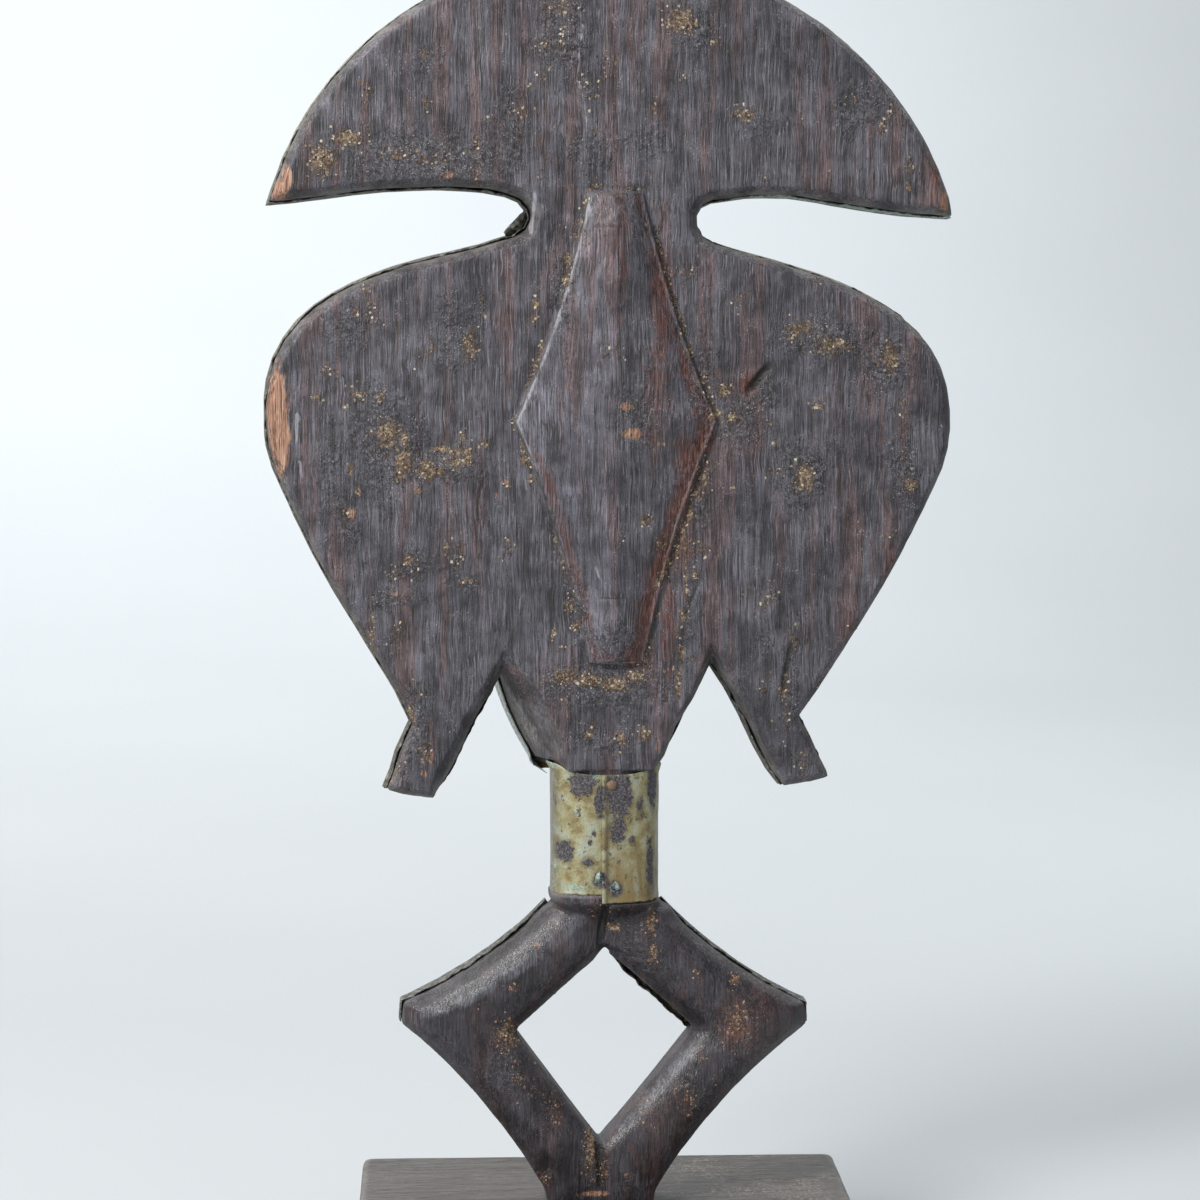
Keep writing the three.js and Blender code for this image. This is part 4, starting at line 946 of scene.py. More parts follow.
class Layout:
    """Sets nodes into a tree and joins them."""

    def __init__(self, tree):
        self.tree = tree

    def node(self, kind, values=None, **settings):
        made = self.tree.nodes.new(kind)
        for name, value in settings.items():
            setattr(made, name, value)
        for key, value in (values or {}).items():
            if isinstance(value, bpy.types.NodeSocket):
                self.tree.links.new(value, made.inputs[key])
            else:
                made.inputs[key].default_value = value
        return made

    def arithmetic(self, operation, a, b, clamp=False):
        return self.node("ShaderNodeMath", {0: a, 1: b}, operation=operation, use_clamp=clamp).outputs[0]

    def times(self, a, b, clamp=False):
        return self.arithmetic("MULTIPLY", a, b, clamp)

    def plus(self, a, b, clamp=False):
        return self.arithmetic("ADD", a, b, clamp)

    def less(self, a, b):
        return self.arithmetic("SUBTRACT", a, b)

    def over(self, a, b):
        return self.arithmetic("DIVIDE", a, b)

    def most(self, a, b):
        return self.arithmetic("MAXIMUM", a, b)

    def moved(self, operation, vector, other):
        return self.node("ShaderNodeVectorMath", {0: vector, 1: other}, operation=operation).outputs[0]

    def scaled(self, vector, scale):
        return self.moved("MULTIPLY", vector, scale)

    def fit(self, value, low, high, to_low=0.0, to_high=1.0):
        values = {"Value": value, 1: low, 2: high, 3: to_low, 4: to_high}
        return self.node("ShaderNodeMapRange", values, interpolation_type="SMOOTHSTEP").outputs[0]

    def mix(self, share, a, b, blend="MIX"):
        b = (*b, 1) if isinstance(b, tuple) else b
        made = self.node("ShaderNodeMix", {0: share, 6: a, 7: b}, data_type="RGBA", blend_type=blend)
        return made.outputs[2]

    def tinted(self, colour, tint):
        return self.mix(1.0, colour, tint, "MULTIPLY")

    def laid(self, under, mask, strength, over):
        """A colour laid over another where a mask says."""
        return self.mix(self.times(mask, strength), under, over)

    def colours(self, value, stops):
        """A colour for each value. A stop is a value, then red, green and blue."""
        made = self.node("ShaderNodeValToRGB", {0: value})
        ramp_stops = made.color_ramp.elements
        while len(ramp_stops) < len(stops):
            ramp_stops.new(0.5)
        for stop, (at, *colour) in zip(ramp_stops, stops):
            stop.position = at
            stop.color = (*colour, 1)
        return made.outputs[0]

    def lumps(self, vector, scale, detail=2.0, roughness=0.5, distortion=0.0):
        values = {"Vector": vector, "Scale": scale, "Detail": detail}
        values |= {"Roughness": roughness, "Distortion": distortion}
        return self.node("ShaderNodeTexNoise", values).outputs[0]

    def swayed(self, vector, scale, reach):
        """A place shifted a little to and fro, so that straight lines on it waver."""
        noise_node = self.node("ShaderNodeTexNoise", {"Vector": vector, "Scale": scale, "Detail": 2.0})
        shift = noise_node.outputs["Color"]
        centred = self.moved("SUBTRACT", shift, (0.5, 0.5, 0.5))
        return self.moved("ADD", vector, self.scaled(centred, (reach, reach, reach)))

    def value_of(self, name):
        return self.node("ShaderNodeAttribute", attribute_name=name).outputs["Fac"]

    def effect(self, tree, **values):
        named = {name.title(): value for name, value in values.items()}
        return self.node("ShaderNodeGroup", named, node_tree=tree).outputs

    def ragged(self, place, mask, size, edge):
        """A mask, or the one that a surface's named value gives, with its edge broken up."""
        mask = self.value_of(mask) if isinstance(mask, str) else mask
        return self.effect(RAGGED, place=place, mask=mask, size=size, edge=edge)["Ragged"]


def shared_effect(name, inputs, outputs):
    """An empty node group with named inputs and outputs, its layout, and its inner ends."""
    tree = bpy.data.node_groups.new(name, "ShaderNodeTree")
    for label, value in inputs.items():
        kind = "NodeSocketVector" if value is None else "NodeSocketFloat"
        socket = tree.interface.new_socket(name=label, in_out="INPUT", socket_type=kind)
        if value is not None:
            socket.default_value = value
    for label in outputs:
        tree.interface.new_socket(name=label, in_out="OUTPUT", socket_type="NodeSocketFloat")
    layout = Layout(tree)
    return tree, layout, layout.node("NodeGroupInput").outputs, layout.node("NodeGroupOutput").inputs


def wood_fibres():
    """Streaks that run along Z: fine fibres, and broader bands of them."""
    inputs = {"Place": None, "Width": 0.6, "Length": 14.0, "Seed": 0.0}
    tree, make, given, out = shared_effect("wood_fibres", inputs, ("Fibres", "Bands"))
    across = make.over(1.0, given["Width"])
    along = make.over(1.0, given["Length"])
    stretch = make.node("ShaderNodeCombineXYZ", {0: across, 1: across, 2: along}).outputs[0]
    moved = make.moved("ADD", given["Place"], given["Seed"])
    fine = make.lumps(make.scaled(moved, stretch), 1.0, 4.0, 0.62, 0.15)
    wide = make.scaled(stretch, (0.26, 0.26, 0.4))
    bands = make.lumps(make.scaled(moved, wide), 1.0, 3.0, 0.55, 0.4)
    make.tree.links.new(fine, out["Fibres"])
    make.tree.links.new(bands, out["Bands"])
    return tree


def specks():
    """Small separate grains: a mask of them, and a tone that differs from grain to grain."""
    inputs = {"Place": None, "Size": 1.0, "Share": 0.3}
    tree, make, given, out = shared_effect("specks", inputs, ("Specks", "Tone", "Chance"))
    scale = make.over(1.0, given["Size"])
    cells = make.node("ShaderNodeTexVoronoi", {"Vector": given["Place"], "Scale": scale, "Randomness": 1.0})
    tone = make.node("ShaderNodeSeparateColor", {0: cells.outputs["Color"]}).outputs
    reach = make.times(given["Share"], tone[1])
    mask = make.fit(make.less(reach, cells.outputs["Distance"]), -0.04, 0.06)
    make.tree.links.new(mask, out["Specks"])
    make.tree.links.new(tone[0], out["Tone"])
    make.tree.links.new(tone[2], out["Chance"])
    return tree


def ragged_mask():
    """Turns a soft mask into one with a broken, ragged edge."""
    inputs = {"Place": None, "Mask": 0.0, "Size": 2.0, "Edge": 0.1}
    tree, make, given, out = shared_effect("ragged_mask", inputs, ("Ragged",))
    scale = make.over(1.0, given["Size"])
    rough = make.lumps(given["Place"], scale, 5.0, 0.68)
    pushed = make.plus(given["Mask"], make.times(make.less(rough, 0.5), 1.5))
    low = make.less(0.5, given["Edge"])
    high = make.plus(0.5, given["Edge"])
    cut = make.fit(pushed, low, high)
    present = make.fit(given["Mask"], 0.02, 0.2)
    make.tree.links.new(make.times(cut, present), out["Ragged"])
    return tree


FIBRES, SPECKS, RAGGED = wood_fibres(), specks(), ragged_mask()


def new_material(name):
    """A material with its layout, its shader and its place in figure millimetres."""
    material = bpy.data.materials.new(name)
    material.use_nodes = True
    tree = material.node_tree
    make = Layout(tree)
    shader = next(n for n in tree.nodes if n.type == "BSDF_PRINCIPLED")
    place_in = make.node("ShaderNodeTexCoord").outputs["Object"]
    return material, make, shader, make.scaled(place_in, (1 / MM, 1 / MM, 1 / MM))


def join(make, shader, **ends):
    for name, socket in ends.items():
        make.tree.links.new(socket, shader.inputs[name.replace("_", " ").title()])


def bumped(make, height, distance, strength=1.0, under=None):
    values = {"Height": height, "Distance": distance * MM, "Strength": strength}
    if under is not None:
        values["Normal"] = under
    return make.node("ShaderNodeBump", values).outputs[0]


def aged_wood():
    material, make, shader, at = new_material("aged_carved_wood")
    swayed = make.swayed(at, 0.05, 3.0)
    fine = make.effect(FIBRES, place=swayed, width=0.64, length=20.0, seed=3.0)
    broad = make.effect(FIBRES, place=swayed, width=2.6, length=44.0, seed=11.0)
    cloud = make.lumps(at, 0.035, 3.0, 0.55)
    patches = make.lumps(at, 0.09, 4.0, 0.6)
    rough = make.ragged(at, "rough", 9.0, 0.3)
    grains = make.effect(SPECKS, place=at, size=1.25, share=0.9)
    dust = make.effect(SPECKS, place=at, size=0.7, share=0.5)

    body = make.plus(make.times(broad["Fibres"], 0.5), make.times(patches, 0.5))
    wood = make.colours(
        body, [(0.4, 0.03, 0.026, 0.031), (0.5, 0.078, 0.071, 0.083), (0.6, 0.128, 0.12, 0.142)]
    )
    reddish = make.tinted(wood, (1.34, 0.82, 0.68))
    wood = make.mix(make.fit(broad["Bands"], 0.49, 0.62, 0.0, 0.75), wood, reddish)
    blackish = make.tinted(wood, (0.52, 0.54, 0.6))
    wood = make.mix(make.fit(cloud, 0.48, 0.6, 0.0, 0.6), wood, blackish)
    wood = make.mix(make.fit(fine["Fibres"], 0.47, 0.36, 0.0, 0.85), wood, (0.012, 0.01, 0.011))
    # Light hairlines along the fibres: partly the grain's own lighter fibres, partly painted glints
    fibre_lines_and_glints = make.times(make.fit(fine["Fibres"], 0.54, 0.66), make.fit(cloud, 0.62, 0.4, 0.2, 0.6))
    wood = make.mix(fibre_lines_and_glints, wood, (0.27, 0.26, 0.31))
    # Painted light on the raised lozenge's left half: its colour made lighter as if lit
    wood = make.mix(make.value_of("pale"), wood, make.tinted(wood, (1.34, 1.34, 1.36)))
    pits = make.fit(make.lumps(make.scaled(at, (1, 1, 0.55)), 0.9, 4.0, 0.7), 0.42, 0.3, 0.0, 0.85)
    wood = make.mix(pits, wood, (0.012, 0.01, 0.01))

    limb = make.value_of("limb")
    wood = make.laid(wood, limb, 0.9, make.tinted(wood, (0.4, 0.36, 0.36)))

    red = make.ragged(at, "red", 7.0, 0.4)
    red_tone = make.colours(
        fine["Fibres"], [(0.38, 0.022, 0.007, 0.005), (0.5, 0.115, 0.032, 0.02), (0.64, 0.27, 0.115, 0.08)]
    )
    wood = make.laid(wood, red, 0.85, red_tone)

    wall = make.value_of("wall")
    wall_tone = make.colours(
        patches, [(0.38, 0.04, 0.036, 0.031), (0.5, 0.098, 0.09, 0.078), (0.62, 0.18, 0.168, 0.148)]
    )
    # Faces that turn sideways take a lighter grey-brown tone, less of it on the limbs
    sideways_faces = make.times(wall, make.less(0.6, make.times(limb, 0.5)))
    wood = make.mix(sideways_faces, wood, wall_tone)
    # Painted light: a lighter brown-grey along the fibres on the shaded chin facet and the notch chamfers
    painted_facet_light_tone = make.colours(
        fine["Fibres"], [(0.38, 0.065, 0.059, 0.054), (0.5, 0.18, 0.168, 0.158), (0.62, 0.28, 0.265, 0.25)]
    )
    wood = make.laid(wood, make.value_of("painted_facet_light"), 0.85, painted_facet_light_tone)

    crusted = make.colours(
        grains["Tone"], [(0.0, 0.014, 0.012, 0.014), (0.55, 0.052, 0.047, 0.053), (0.9, 0.14, 0.13, 0.145)]
    )
    wood = make.mix(make.times(rough, make.less(0.68, make.times(limb, 0.45))), wood, crusted)
    glints = make.times(dust["Specks"], make.fit(dust["Tone"], 0.55, 0.8))
    glint_places = make.plus(make.times(rough, 0.9), make.fit(patches, 0.5, 0.62, 0.12, 0.7), clamp=True)
    glints = make.times(glints, make.times(glint_places, make.less(1.0, make.times(limb, 0.85))))
    wood = make.laid(wood, glints, 0.85, (0.42, 0.41, 0.44))

    # Outward arrises made lighter: partly wear, partly painted highlight
    wear_and_highlight = make.ragged(at, "arris", 4.0, 0.35)
    wood = make.laid(wood, wear_and_highlight, 0.3, (0.2, 0.18, 0.185))
    # Painted highlight on the lozenge's left arris, and the light scratches, laid on in pale grey
    highlight_and_scratches = make.times(make.value_of("wear_and_highlight"), make.fit(fine["Fibres"], 0.3, 0.6, 0.7, 1.3))
    highlight_and_scratches = make.fit(highlight_and_scratches, 0.2, 0.75)
    wood = make.laid(wood, highlight_and_scratches, 0.75, (0.38, 0.37, 0.4))

    # Painted highlight: light bluish streaks along the limb ridges, broken up by the fibres
    painted_limb_highlight = make.ragged(at, "painted_limb_highlight", 3.0, 0.35)
    crinkles = make.fit(fine["Fibres"], 0.42, 0.6, 0.3, 1.0)
    painted_limb_highlight = make.times(painted_limb_highlight, crinkles)
    wood = make.laid(wood, painted_limb_highlight, 0.5, (0.235, 0.24, 0.27))

    bare_at = make.scaled(at, (1, 1, 0.28))
    bare = make.ragged(bare_at, "bare", 1.6, 0.16)
    bare_tone = make.colours(
        fine["Fibres"],
        [
            (0.34, 0.06, 0.026, 0.018), (0.45, 0.27, 0.12, 0.065),
            (0.54, 0.44, 0.23, 0.14), (0.66, 0.6, 0.41, 0.29),
        ],
    )
    wood = make.laid(wood, bare, 0.88, bare_tone)

    crust = make.value_of("crust")
    brown_dirt = make.ragged(at, crust, 5.0, 0.3)
    brown_tone = make.colours(
        dust["Tone"], [(0.0, 0.022, 0.014, 0.011), (0.6, 0.08, 0.044, 0.03), (0.95, 0.2, 0.12, 0.08)]
    )
    wood = make.laid(wood, brown_dirt, 0.75, brown_tone)
    stain = make.ragged(at, make.times(crust, 0.78), 3.4, 0.07)
    crumb = make.lumps(at, 0.8, 4.0, 0.7)
    stain_tone = make.colours(
        crumb,
        [
            (0.36, 0.045, 0.027, 0.02), (0.46, 0.17, 0.105, 0.062),
            (0.54, 0.37, 0.27, 0.17), (0.64, 0.66, 0.56, 0.41),
        ],
    )
    wood = make.laid(wood, stain, 0.6, stain_tone)
    flake_at = make.plus(make.times(crust, 0.72), make.fit(patches, 0.46, 0.62, 0.003, 0.02))
    flake = make.effect(SPECKS, place=at, size=1.05, share=1.0)
    flakes = make.times(flake["Specks"], make.fit(make.less(flake_at, flake["Chance"]), 0.0, 0.06))
    flake_tone = make.colours(
        flake["Tone"],
        [
            (0.0, 0.08, 0.042, 0.026), (0.4, 0.2, 0.115, 0.064),
            (0.72, 0.38, 0.28, 0.17), (0.96, 0.68, 0.59, 0.44),
        ],
    )
    browner = make.tinted(flake_tone, (0.72, 0.46, 0.36))
    flake_tone = make.laid(flake_tone, limb, 0.9, browner)
    wood = make.laid(wood, flakes, 0.95, flake_tone)
    wood = make.mix(make.fit(make.value_of("tear"), 0.1, 0.9, 0.0, 0.75), wood, (0.014, 0.011, 0.011))

    gloss = make.fit(fine["Fibres"], 0.38, 0.62, 0.5, 0.36)
    gloss = make.plus(gloss, make.times(limb, -0.12))
    gloss = make.plus(gloss, make.times(make.most(stain, wall), 0.3))
    height = make.plus(make.times(fine["Fibres"], 1.0), make.times(broad["Fibres"], 0.6))
    height = make.plus(height, make.times(patches, 1.2))
    height = make.plus(height, make.times(make.times(rough, grains["Specks"]), 2.4))
    height = make.plus(height, make.times(make.most(glints, flakes), 1.2))
    shader.inputs["Specular IOR Level"].default_value = 0.6
    normal = bumped(make, height, 0.5, make.fit(limb, 0.0, 1.0, 1.0, 0.5))
    join(make, shader, base_color=wood, roughness=gloss, normal=normal)
    return material


def crust_grain():
    material, make, shader, at = new_material("crust_grains")
    cells = make.effect(SPECKS, place=at, size=0.9, share=0.6)
    tone = make.colours(
        cells["Tone"],
        [
            (0.0, 0.028, 0.019, 0.015), (0.45, 0.085, 0.052, 0.035), (0.74, 0.22, 0.15, 0.09),
            (0.92, 0.46, 0.36, 0.24), (1.0, 0.7, 0.62, 0.49),
        ],
    )
    rough = make.lumps(at, 3.0, 2.0, 0.6)
    gloss = make.fit(rough, 0.3, 0.7, 0.7, 0.95)
    join(make, shader, base_color=tone, roughness=gloss, normal=bumped(make, rough, 0.2))
    return material


def sheet_metal():
    material, make, shader, at = new_material("beaten_sheet_metal")
    cloud = make.lumps(at, 0.045, 4.0, 0.6)
    fine = make.lumps(at, 0.5, 4.0, 0.6)
    tone = make.colours(
        cloud, [(0.35, 0.19, 0.125, 0.055), (0.5, 0.25, 0.17, 0.078), (0.65, 0.32, 0.235, 0.12)]
    )
    dull = make.fit(make.plus(cloud, make.times(fine, 0.35)), 0.6, 0.86)
    tone = make.laid(tone, dull, 0.6, (0.085, 0.062, 0.04))
    spots = make.fit(make.lumps(at, 0.14, 5.0, 0.6), 0.63, 0.75)
    green_at = make.ragged(at, "green", 7.0, 0.4)
    rim = make.value_of("rim")
    edge = make.colours(
        fine,
        [
            (0.36, 0.014, 0.014, 0.013), (0.48, 0.055, 0.055, 0.046),
            (0.58, 0.13, 0.132, 0.112), (0.68, 0.3, 0.3, 0.26),
        ],
    )
    tone = make.mix(rim, tone, edge)
    green_tone = make.colours(
        fine, [(0.36, 0.1, 0.13, 0.11), (0.5, 0.26, 0.34, 0.29), (0.64, 0.48, 0.56, 0.49)]
    )
    tone = make.mix(make.most(make.times(spots, 0.55), green_at), tone, green_tone)
    # Pale grey-green for the strip beside the chin, brightened as painted light against the shade there
    pale_green_and_lit_tone = make.colours(
        fine, [(0.36, 0.24, 0.28, 0.26), (0.5, 0.52, 0.58, 0.55), (0.64, 0.74, 0.78, 0.74)]
    )
    tone = make.mix(make.value_of("pale"), tone, pale_green_and_lit_tone)
    metal = make.fit(make.plus(make.plus(dull, spots), make.plus(rim, green_at)), 0.0, 1.0, 0.85, 0.15)
    gloss = make.fit(make.plus(fine, make.times(make.most(dull, rim), 0.3)), 0.35, 0.8, 0.34, 0.68)
    height = make.plus(make.times(fine, 0.3), make.times(make.lumps(at, 0.16, 2.0), 1.6))
    join(make, shader, base_color=tone, metallic=metal, roughness=gloss, normal=bumped(make, height, 0.2))
    return material


def collar_brass():
    material, make, shader, at = new_material("collar_brass")
    cloud = make.lumps(at, 0.13, 4.0, 0.6)
    fine = make.lumps(at, 1.1, 4.0, 0.65)
    drawn = make.effect(FIBRES, place=at, width=1.3, length=11.0, seed=5.0)
    tone = make.colours(
        cloud,
        [
            (0.36, 0.26, 0.2, 0.09), (0.46, 0.36, 0.32, 0.17),
            (0.54, 0.42, 0.4, 0.25), (0.64, 0.44, 0.46, 0.36),
        ],
    )
    spot = make.node("ShaderNodeSeparateXYZ", {0: at}).outputs
    low = make.times(make.fit(spot[2], 203.0, 186.0), make.fit(spot[0], 4.0, 0.0))
    ochre = make.times(low, make.fit(drawn["Bands"], 0.36, 0.6, 0.35, 1.0))
    tone = make.mix(ochre, tone, (0.27, 0.195, 0.085))
    tone = make.mix(make.fit(fine, 0.54, 0.66, 0.0, 0.5), tone, (0.2, 0.15, 0.075))
    # Darker grey-green on the sides: the brass's patina, darkened further as painted shade where the neck
    # turns away
    side = make.value_of("side")
    patina_and_shade_side_tone = make.colours(
        fine, [(0.38, 0.045, 0.045, 0.042), (0.5, 0.15, 0.15, 0.13), (0.62, 0.33, 0.34, 0.3)]
    )
    tone = make.laid(tone, side, 0.85, patina_and_shade_side_tone)
    dark_at = make.value_of("dark")
    dark = make.ragged(at, dark_at, 3.0, 0.03)
    halo = make.ragged(at, make.times(dark_at, 1.5), 3.6, 0.3)
    tone = make.laid(tone, halo, 0.55, (0.14, 0.105, 0.055))
    stains = make.fit(make.lumps(make.scaled(at, (1, 1, 0.8)), 0.34, 6.0, 0.72), 0.595, 0.625)
    dark = make.most(dark, make.times(stains, 0.85))
    dark_tone = make.colours(
        fine, [(0.36, 0.02, 0.016, 0.018), (0.5, 0.07, 0.06, 0.068), (0.64, 0.18, 0.165, 0.18)]
    )
    tone = make.mix(dark, tone, dark_tone)
    green = make.ragged(at, "green", 2.2, 0.2)
    green_tone = make.colours(
        fine, [(0.36, 0.1, 0.15, 0.12), (0.5, 0.26, 0.37, 0.31), (0.62, 0.5, 0.6, 0.52)]
    )
    tone = make.laid(tone, green, 0.8, green_tone)
    # Painted shadow: a dark line beside the lapped edge
    seam = make.value_of("seam")
    tone = make.laid(tone, seam, 0.75, (0.06, 0.04, 0.033))
    metal = make.fit(make.plus(dark, green), 0.0, 1.0, 0.35, 0.08)
    gloss = make.fit(make.plus(fine, make.times(dark, 0.2)), 0.35, 0.85, 0.4, 0.62)
    height = make.plus(make.plus(fine, cloud), make.times(make.times(dark, fine), 0.8))
    join(make, shader, base_color=tone, metallic=metal, roughness=gloss, normal=bumped(make, height, 0.3))
    return material


def tack_metal(name, head_tone, old, lit_side_span):
    """A tack's metal, with painted light across the head: lighter on one side and darker on the other."""
    material, make, shader, at = new_material(name)
    across = make.plus(make.node("ShaderNodeSeparateXYZ", {0: at}).outputs[0], make.lumps(at, 0.8, 2.0))
    # Painted light: the head lighter on one side and darker on the other, across x
    painted_light_across = make.fit(across, lit_side_span[0] + 0.5, lit_side_span[1] + 0.5, 0.0, 0.26)
    fine = make.plus(make.lumps(at, 1.6, 4.0, 0.65), make.less(painted_light_across, 0.13))
    tone = make.colours(fine, [(0.35, *old), (0.55, *head_tone), (0.75, *(min(1.0, c * 1.7) for c in head_tone))])
    gloss = make.fit(fine, 0.3, 0.7, 0.4, 0.75)
    shader.inputs["Metallic"].default_value = 0.3
    join(make, shader, base_color=tone, roughness=gloss, normal=bumped(make, fine, 0.2))
    return material


def plinth_wood():
    material, make, shader, at = new_material("plinth_wood")
    quarter = {"Vector": at, "Angle": math.radians(90)}
    lengthwise = make.node("ShaderNodeVectorRotate", quarter, rotation_type="Y_AXIS").outputs[0]
    fine = make.effect(FIBRES, place=lengthwise, width=0.9, length=9.0, seed=7.0)
    broad = make.effect(FIBRES, place=lengthwise, width=4.0, length=60.0, seed=2.0)
    tone = make.colours(
        make.plus(make.times(fine["Fibres"], 0.5), make.times(broad["Fibres"], 0.5)),
        [(0.38, 0.042, 0.036, 0.032), (0.5, 0.08, 0.07, 0.063), (0.61, 0.128, 0.115, 0.105)],
    )
    right = make.fit(make.node("ShaderNodeSeparateXYZ", {0: at}).outputs[0], 60.0, -110.0)
    patch = make.fit(make.lumps(at, 0.03, 3.0, 0.6), 0.42, 0.6)
    share = make.times(make.plus(right, 0.25), patch, clamp=True)
    flecks = make.effect(SPECKS, place=make.scaled(lengthwise, (1, 1, 0.55)), size=0.9, share=0.6)["Specks"]
    tone = make.laid(tone, make.times(flecks, share), 0.5, (0.4, 0.33, 0.26))
    arris = make.value_of("arris")
    tone = make.laid(tone, arris, 0.35, (0.3, 0.28, 0.26))
    gloss = make.fit(fine["Fibres"], 0.3, 0.7, 0.66, 0.5)
    height = make.less(make.plus(fine["Fibres"], broad["Fibres"]), make.times(flecks, 0.3))
    join(make, shader, base_color=tone, roughness=gloss, normal=bumped(make, height, 0.3))
    return material


def floor_paint():
    material, make, shader, at = new_material("pale_floor")
    cloud = make.lumps(at, 0.002, 2.0)
    tone = make.colours(cloud, [(0.3, 0.465, 0.485, 0.497), (0.7, 0.48, 0.5, 0.512)])
    join(make, shader, base_color=tone, roughness=make.fit(cloud, 0.3, 0.7, 0.85, 0.9))
    return material


def crust_scatter(wood, material):
    """Loose grains of crust over the wood, thickest where it is marked, made by a node tree."""
    tree = bpy.data.node_groups.new("crust_scatter", "GeometryNodeTree")
    ends = {
        "Wood": ("INPUT", "NodeSocketGeometry"),
        "Density": ("INPUT", "NodeSocketFloat"),
        "Grain Size": ("INPUT", "NodeSocketFloat"),
        "Material": ("INPUT", "NodeSocketMaterial"),
        "Grains": ("OUTPUT", "NodeSocketGeometry"),
    }
    sockets = {
        name: tree.interface.new_socket(name=name, in_out=way, socket_type=kind)
        for name, (way, kind) in ends.items()
    }
    make = Layout(tree)
    given = make.node("NodeGroupInput").outputs
    marked = make.node("GeometryNodeInputNamedAttribute", {"Name": "crust"}, data_type="FLOAT").outputs[0]
    where = make.node("GeometryNodeInputPosition").outputs[0]
    patches = make.node("ShaderNodeTexNoise", {"Vector": where, "Scale": 260.0, "Detail": 3.0}).outputs[0]
    broken = make.node("ShaderNodeMapRange", {"Value": patches, 1: 0.42, 2: 0.62}).outputs[0]
    thick = make.node("ShaderNodeMapRange", {"Value": marked, 1: 0.18, 2: 0.8}).outputs[0]
    density = make.times(make.times(broken, thick), given["Density"])
    where_to = {"Mesh": given["Wood"], "Density": density, "Seed": 7}
    spread = make.node("GeometryNodeDistributePointsOnFaces", where_to)
    grain = make.node("GeometryNodeMeshIcoSphere", {"Radius": 1.0, "Subdivisions": 1}).outputs[0]
    jitter = make.node("GeometryNodeInputPosition").outputs[0]
    uneven = make.node("ShaderNodeTexNoise", {"Vector": jitter, "Scale": 1.7, "Detail": 1.0}).outputs["Color"]
    centred = make.moved("SUBTRACT", uneven, (0.5, 0.5, 0.5))
    grain = make.node("GeometryNodeSetPosition", {"Geometry": grain, "Offset": centred}).outputs[0]
    turns = {0: (0, 0, 0), 1: (6.28, 6.28, 6.28), "Seed": 3}
    turn = make.node("FunctionNodeRandomValue", turns, data_type="FLOAT_VECTOR")
    size = make.node("FunctionNodeRandomValue", {2: 0.35, 3: 1.0, "Seed": 5}, data_type="FLOAT").outputs[1]
    scale = make.times(make.arithmetic("POWER", size, 2.2), given["Grain Size"])
    placed = make.node(
        "GeometryNodeInstanceOnPoints",
        {"Points": spread.outputs[0], "Instance": grain, "Rotation": turn.outputs[0], "Scale": scale},
    ).outputs[0]
    real = make.node("GeometryNodeRealizeInstances", {0: placed}).outputs[0]
    done = make.node("GeometryNodeSetMaterial", {"Geometry": real, "Material": given["Material"]}).outputs[0]
    out = make.node("NodeGroupOutput").inputs
    tree.links.new(done, out["Grains"])
    piece = piece_from(wood.data.copy(), "crust_grains")
    modifier = piece.modifiers.new("scatter", "NODES")
    modifier.node_group = tree
    modifier[sockets["Density"].identifier] = CRUMB_DENSITY
    modifier[sockets["Grain Size"].identifier] = CRUMB_SIZE * MM
    modifier[sockets["Material"].identifier] = material
    settle(piece)
    return piece


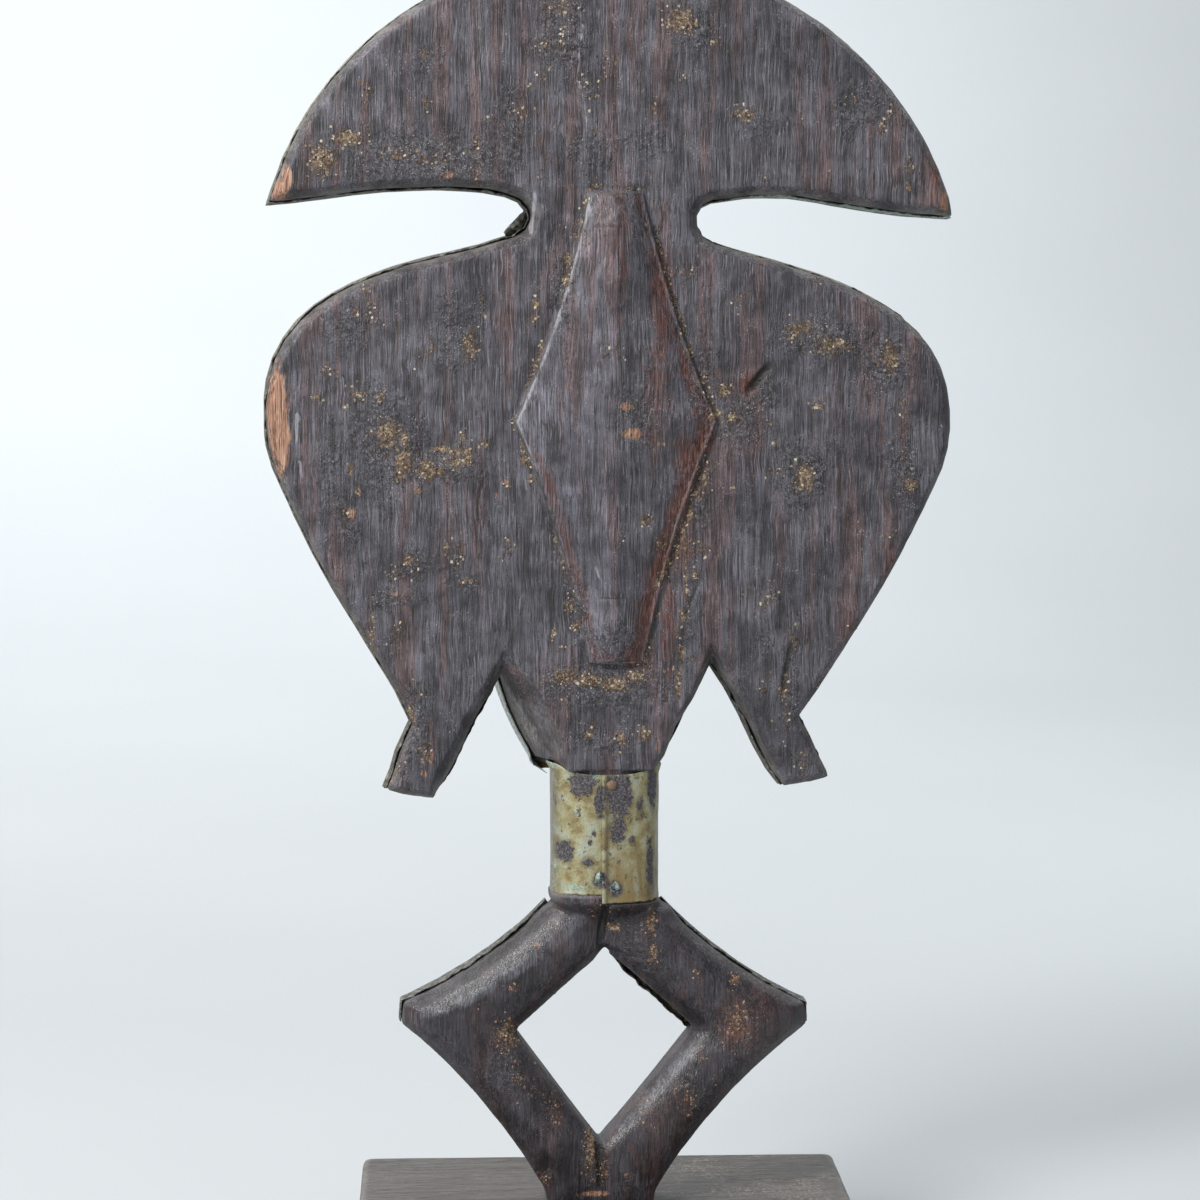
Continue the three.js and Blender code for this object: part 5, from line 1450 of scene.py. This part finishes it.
def studio():
    """A pale floor that runs up into a backdrop, soft lights, and the camera at the picture's viewpoint."""
    profile = [(FLOOR_REACH, 0.0), (0.0, 0.0), (COVE_START, 0.0)]
    curve = np.linspace(0.04, math.pi / 2, 40)
    profile += [(COVE_START - COVE * math.sin(a), COVE - COVE * math.cos(a)) for a in curve]
    profile += [(COVE_START - COVE, BACKDROP_TOP)]
    mesh = bpy.data.meshes.new("floor")
    points = [(x, y, z) for y, z in profile for x in (-FLOOR_REACH, FLOOR_REACH)]
    faces = [(2 * i, 2 * i + 1, 2 * i + 3, 2 * i + 2) for i in range(len(profile) - 1)]
    mesh.from_pydata(points, [], faces)
    mesh.shade_smooth()
    floor = piece_from(mesh, "floor")
    floor.data.materials.append(floor_paint())

    middle = Vector((0, 0, 0.32))
    backdrop = Vector((0.3, -4.8, 1.1))
    lights = {
        "key": ((1.25, 1.15, 1.55), middle, 0.8, 46.0, (1.0, 0.99, 0.97)),
        "fill": ((-1.7, 1.3, 0.5), middle, 1.2, 1.5, (0.9, 0.95, 1.0)),
        "floor": ((-0.9, -1.0, 1.3), Vector((-0.45, -0.3, 0)), 0.7, 10.0, (0.95, 0.98, 1.0)),
        "top": ((0.5, -0.1, 1.9), middle, 1.0, 12.0, (0.95, 0.98, 1.0)),
        "front": ((1.0, -1.4, 1.4), middle, 0.8, 14.0, (1.0, 0.99, 0.98)),
        "backdrop": ((0.6, -2.4, 2.7), backdrop, 2.2, 141.0, (0.97, 0.985, 1.0)),
    }
    for name, (spot, aim, size, power, colour) in lights.items():
        lamp = bpy.data.lights.new(name, "AREA")
        lamp.shape = "RECTANGLE"
        lamp.size = lamp.size_y = size
        lamp.energy = power
        lamp.color = colour
        holder = bpy.data.objects.new(name, lamp)
        holder.location = spot
        holder.rotation_euler = (aim - Vector(spot)).to_track_quat("-Z", "Y").to_euler()
        scene.collection.objects.link(holder)
    world = bpy.data.worlds.new("studio")
    world.use_nodes = True
    world.node_tree.nodes["Background"].inputs["Color"].default_value = (0.86, 0.92, 0.97, 1)
    world.node_tree.nodes["Background"].inputs["Strength"].default_value = 0.34
    scene.world = world
    scene.view_settings.view_transform = "Standard"

    lens = bpy.data.cameras.new("camera")
    lens.lens = LENS
    lens.sensor_width = SENSOR
    lens.clip_start, lens.clip_end = 0.05, 20.0
    camera = bpy.data.objects.new("camera", lens)
    camera.location = EYE
    camera.rotation_euler = (LOOK_AT - EYE).to_track_quat("-Z", "Y").to_euler()
    scene.collection.objects.link(camera)
    scene.camera = camera


studio()
wood = carved_wood()
grains = crust_scatter(wood, crust_grain())
finish_piece(wood, aged_wood(), "carved_wood", "wooden_figure")
finish_piece(grains, bpy.data.materials["crust_grains"], "carved_wood")
finish_piece(wooden_plinth(), plinth_wood(), "plinth_wood", "plinth")
finish_piece(neck_collar(), collar_brass(), "collar_metal", "neck_collar")

# Each tack: its place, shape, colours, and the span across x of the painted light on its head
for side, sides, radius, rise, head_tone, old, lit_side_span in (
    ("top", 12, 2.4, 1.2, (0.17, 0.115, 0.075), (0.04, 0.032, 0.028), (-9.0, -8.0)),
    ("left", 3, 2.9, 1.1, (0.28, 0.34, 0.31), (0.03, 0.032, 0.03), (5.2, 6.0)),
    ("right", 3, 2.9, 1.1, (0.28, 0.34, 0.31), (0.03, 0.032, 0.03), (-1.0, -1.8)),
):
    node = "collar_tack_" + side
    metal = tack_metal("tack_metal_" + side, head_tone, old, lit_side_span)
    finish_piece(tack_head(node, "tack_" + side, sides, radius, rise), metal, "tack_metal", node)

beaten = sheet_metal()
figure_surface = surface_of("wooden_figure")
for make_sheet, nodes in (
    (beaten_sheet, ("crest_sheet", "side_sheet_left", "side_sheet_right")),
    (limb_sheet, ("limb_sheet_left", "limb_sheet_right")),
):
    for node in nodes:
        sheet = make_sheet(node, node.replace("sheet", "metal"), figure_surface)
        finish_piece(sheet, beaten, "face_metal", node)
finish_piece(face_sheet(), beaten, "face_metal", "face_sheet")
finish_piece(torn_tongue(), beaten, "face_metal")
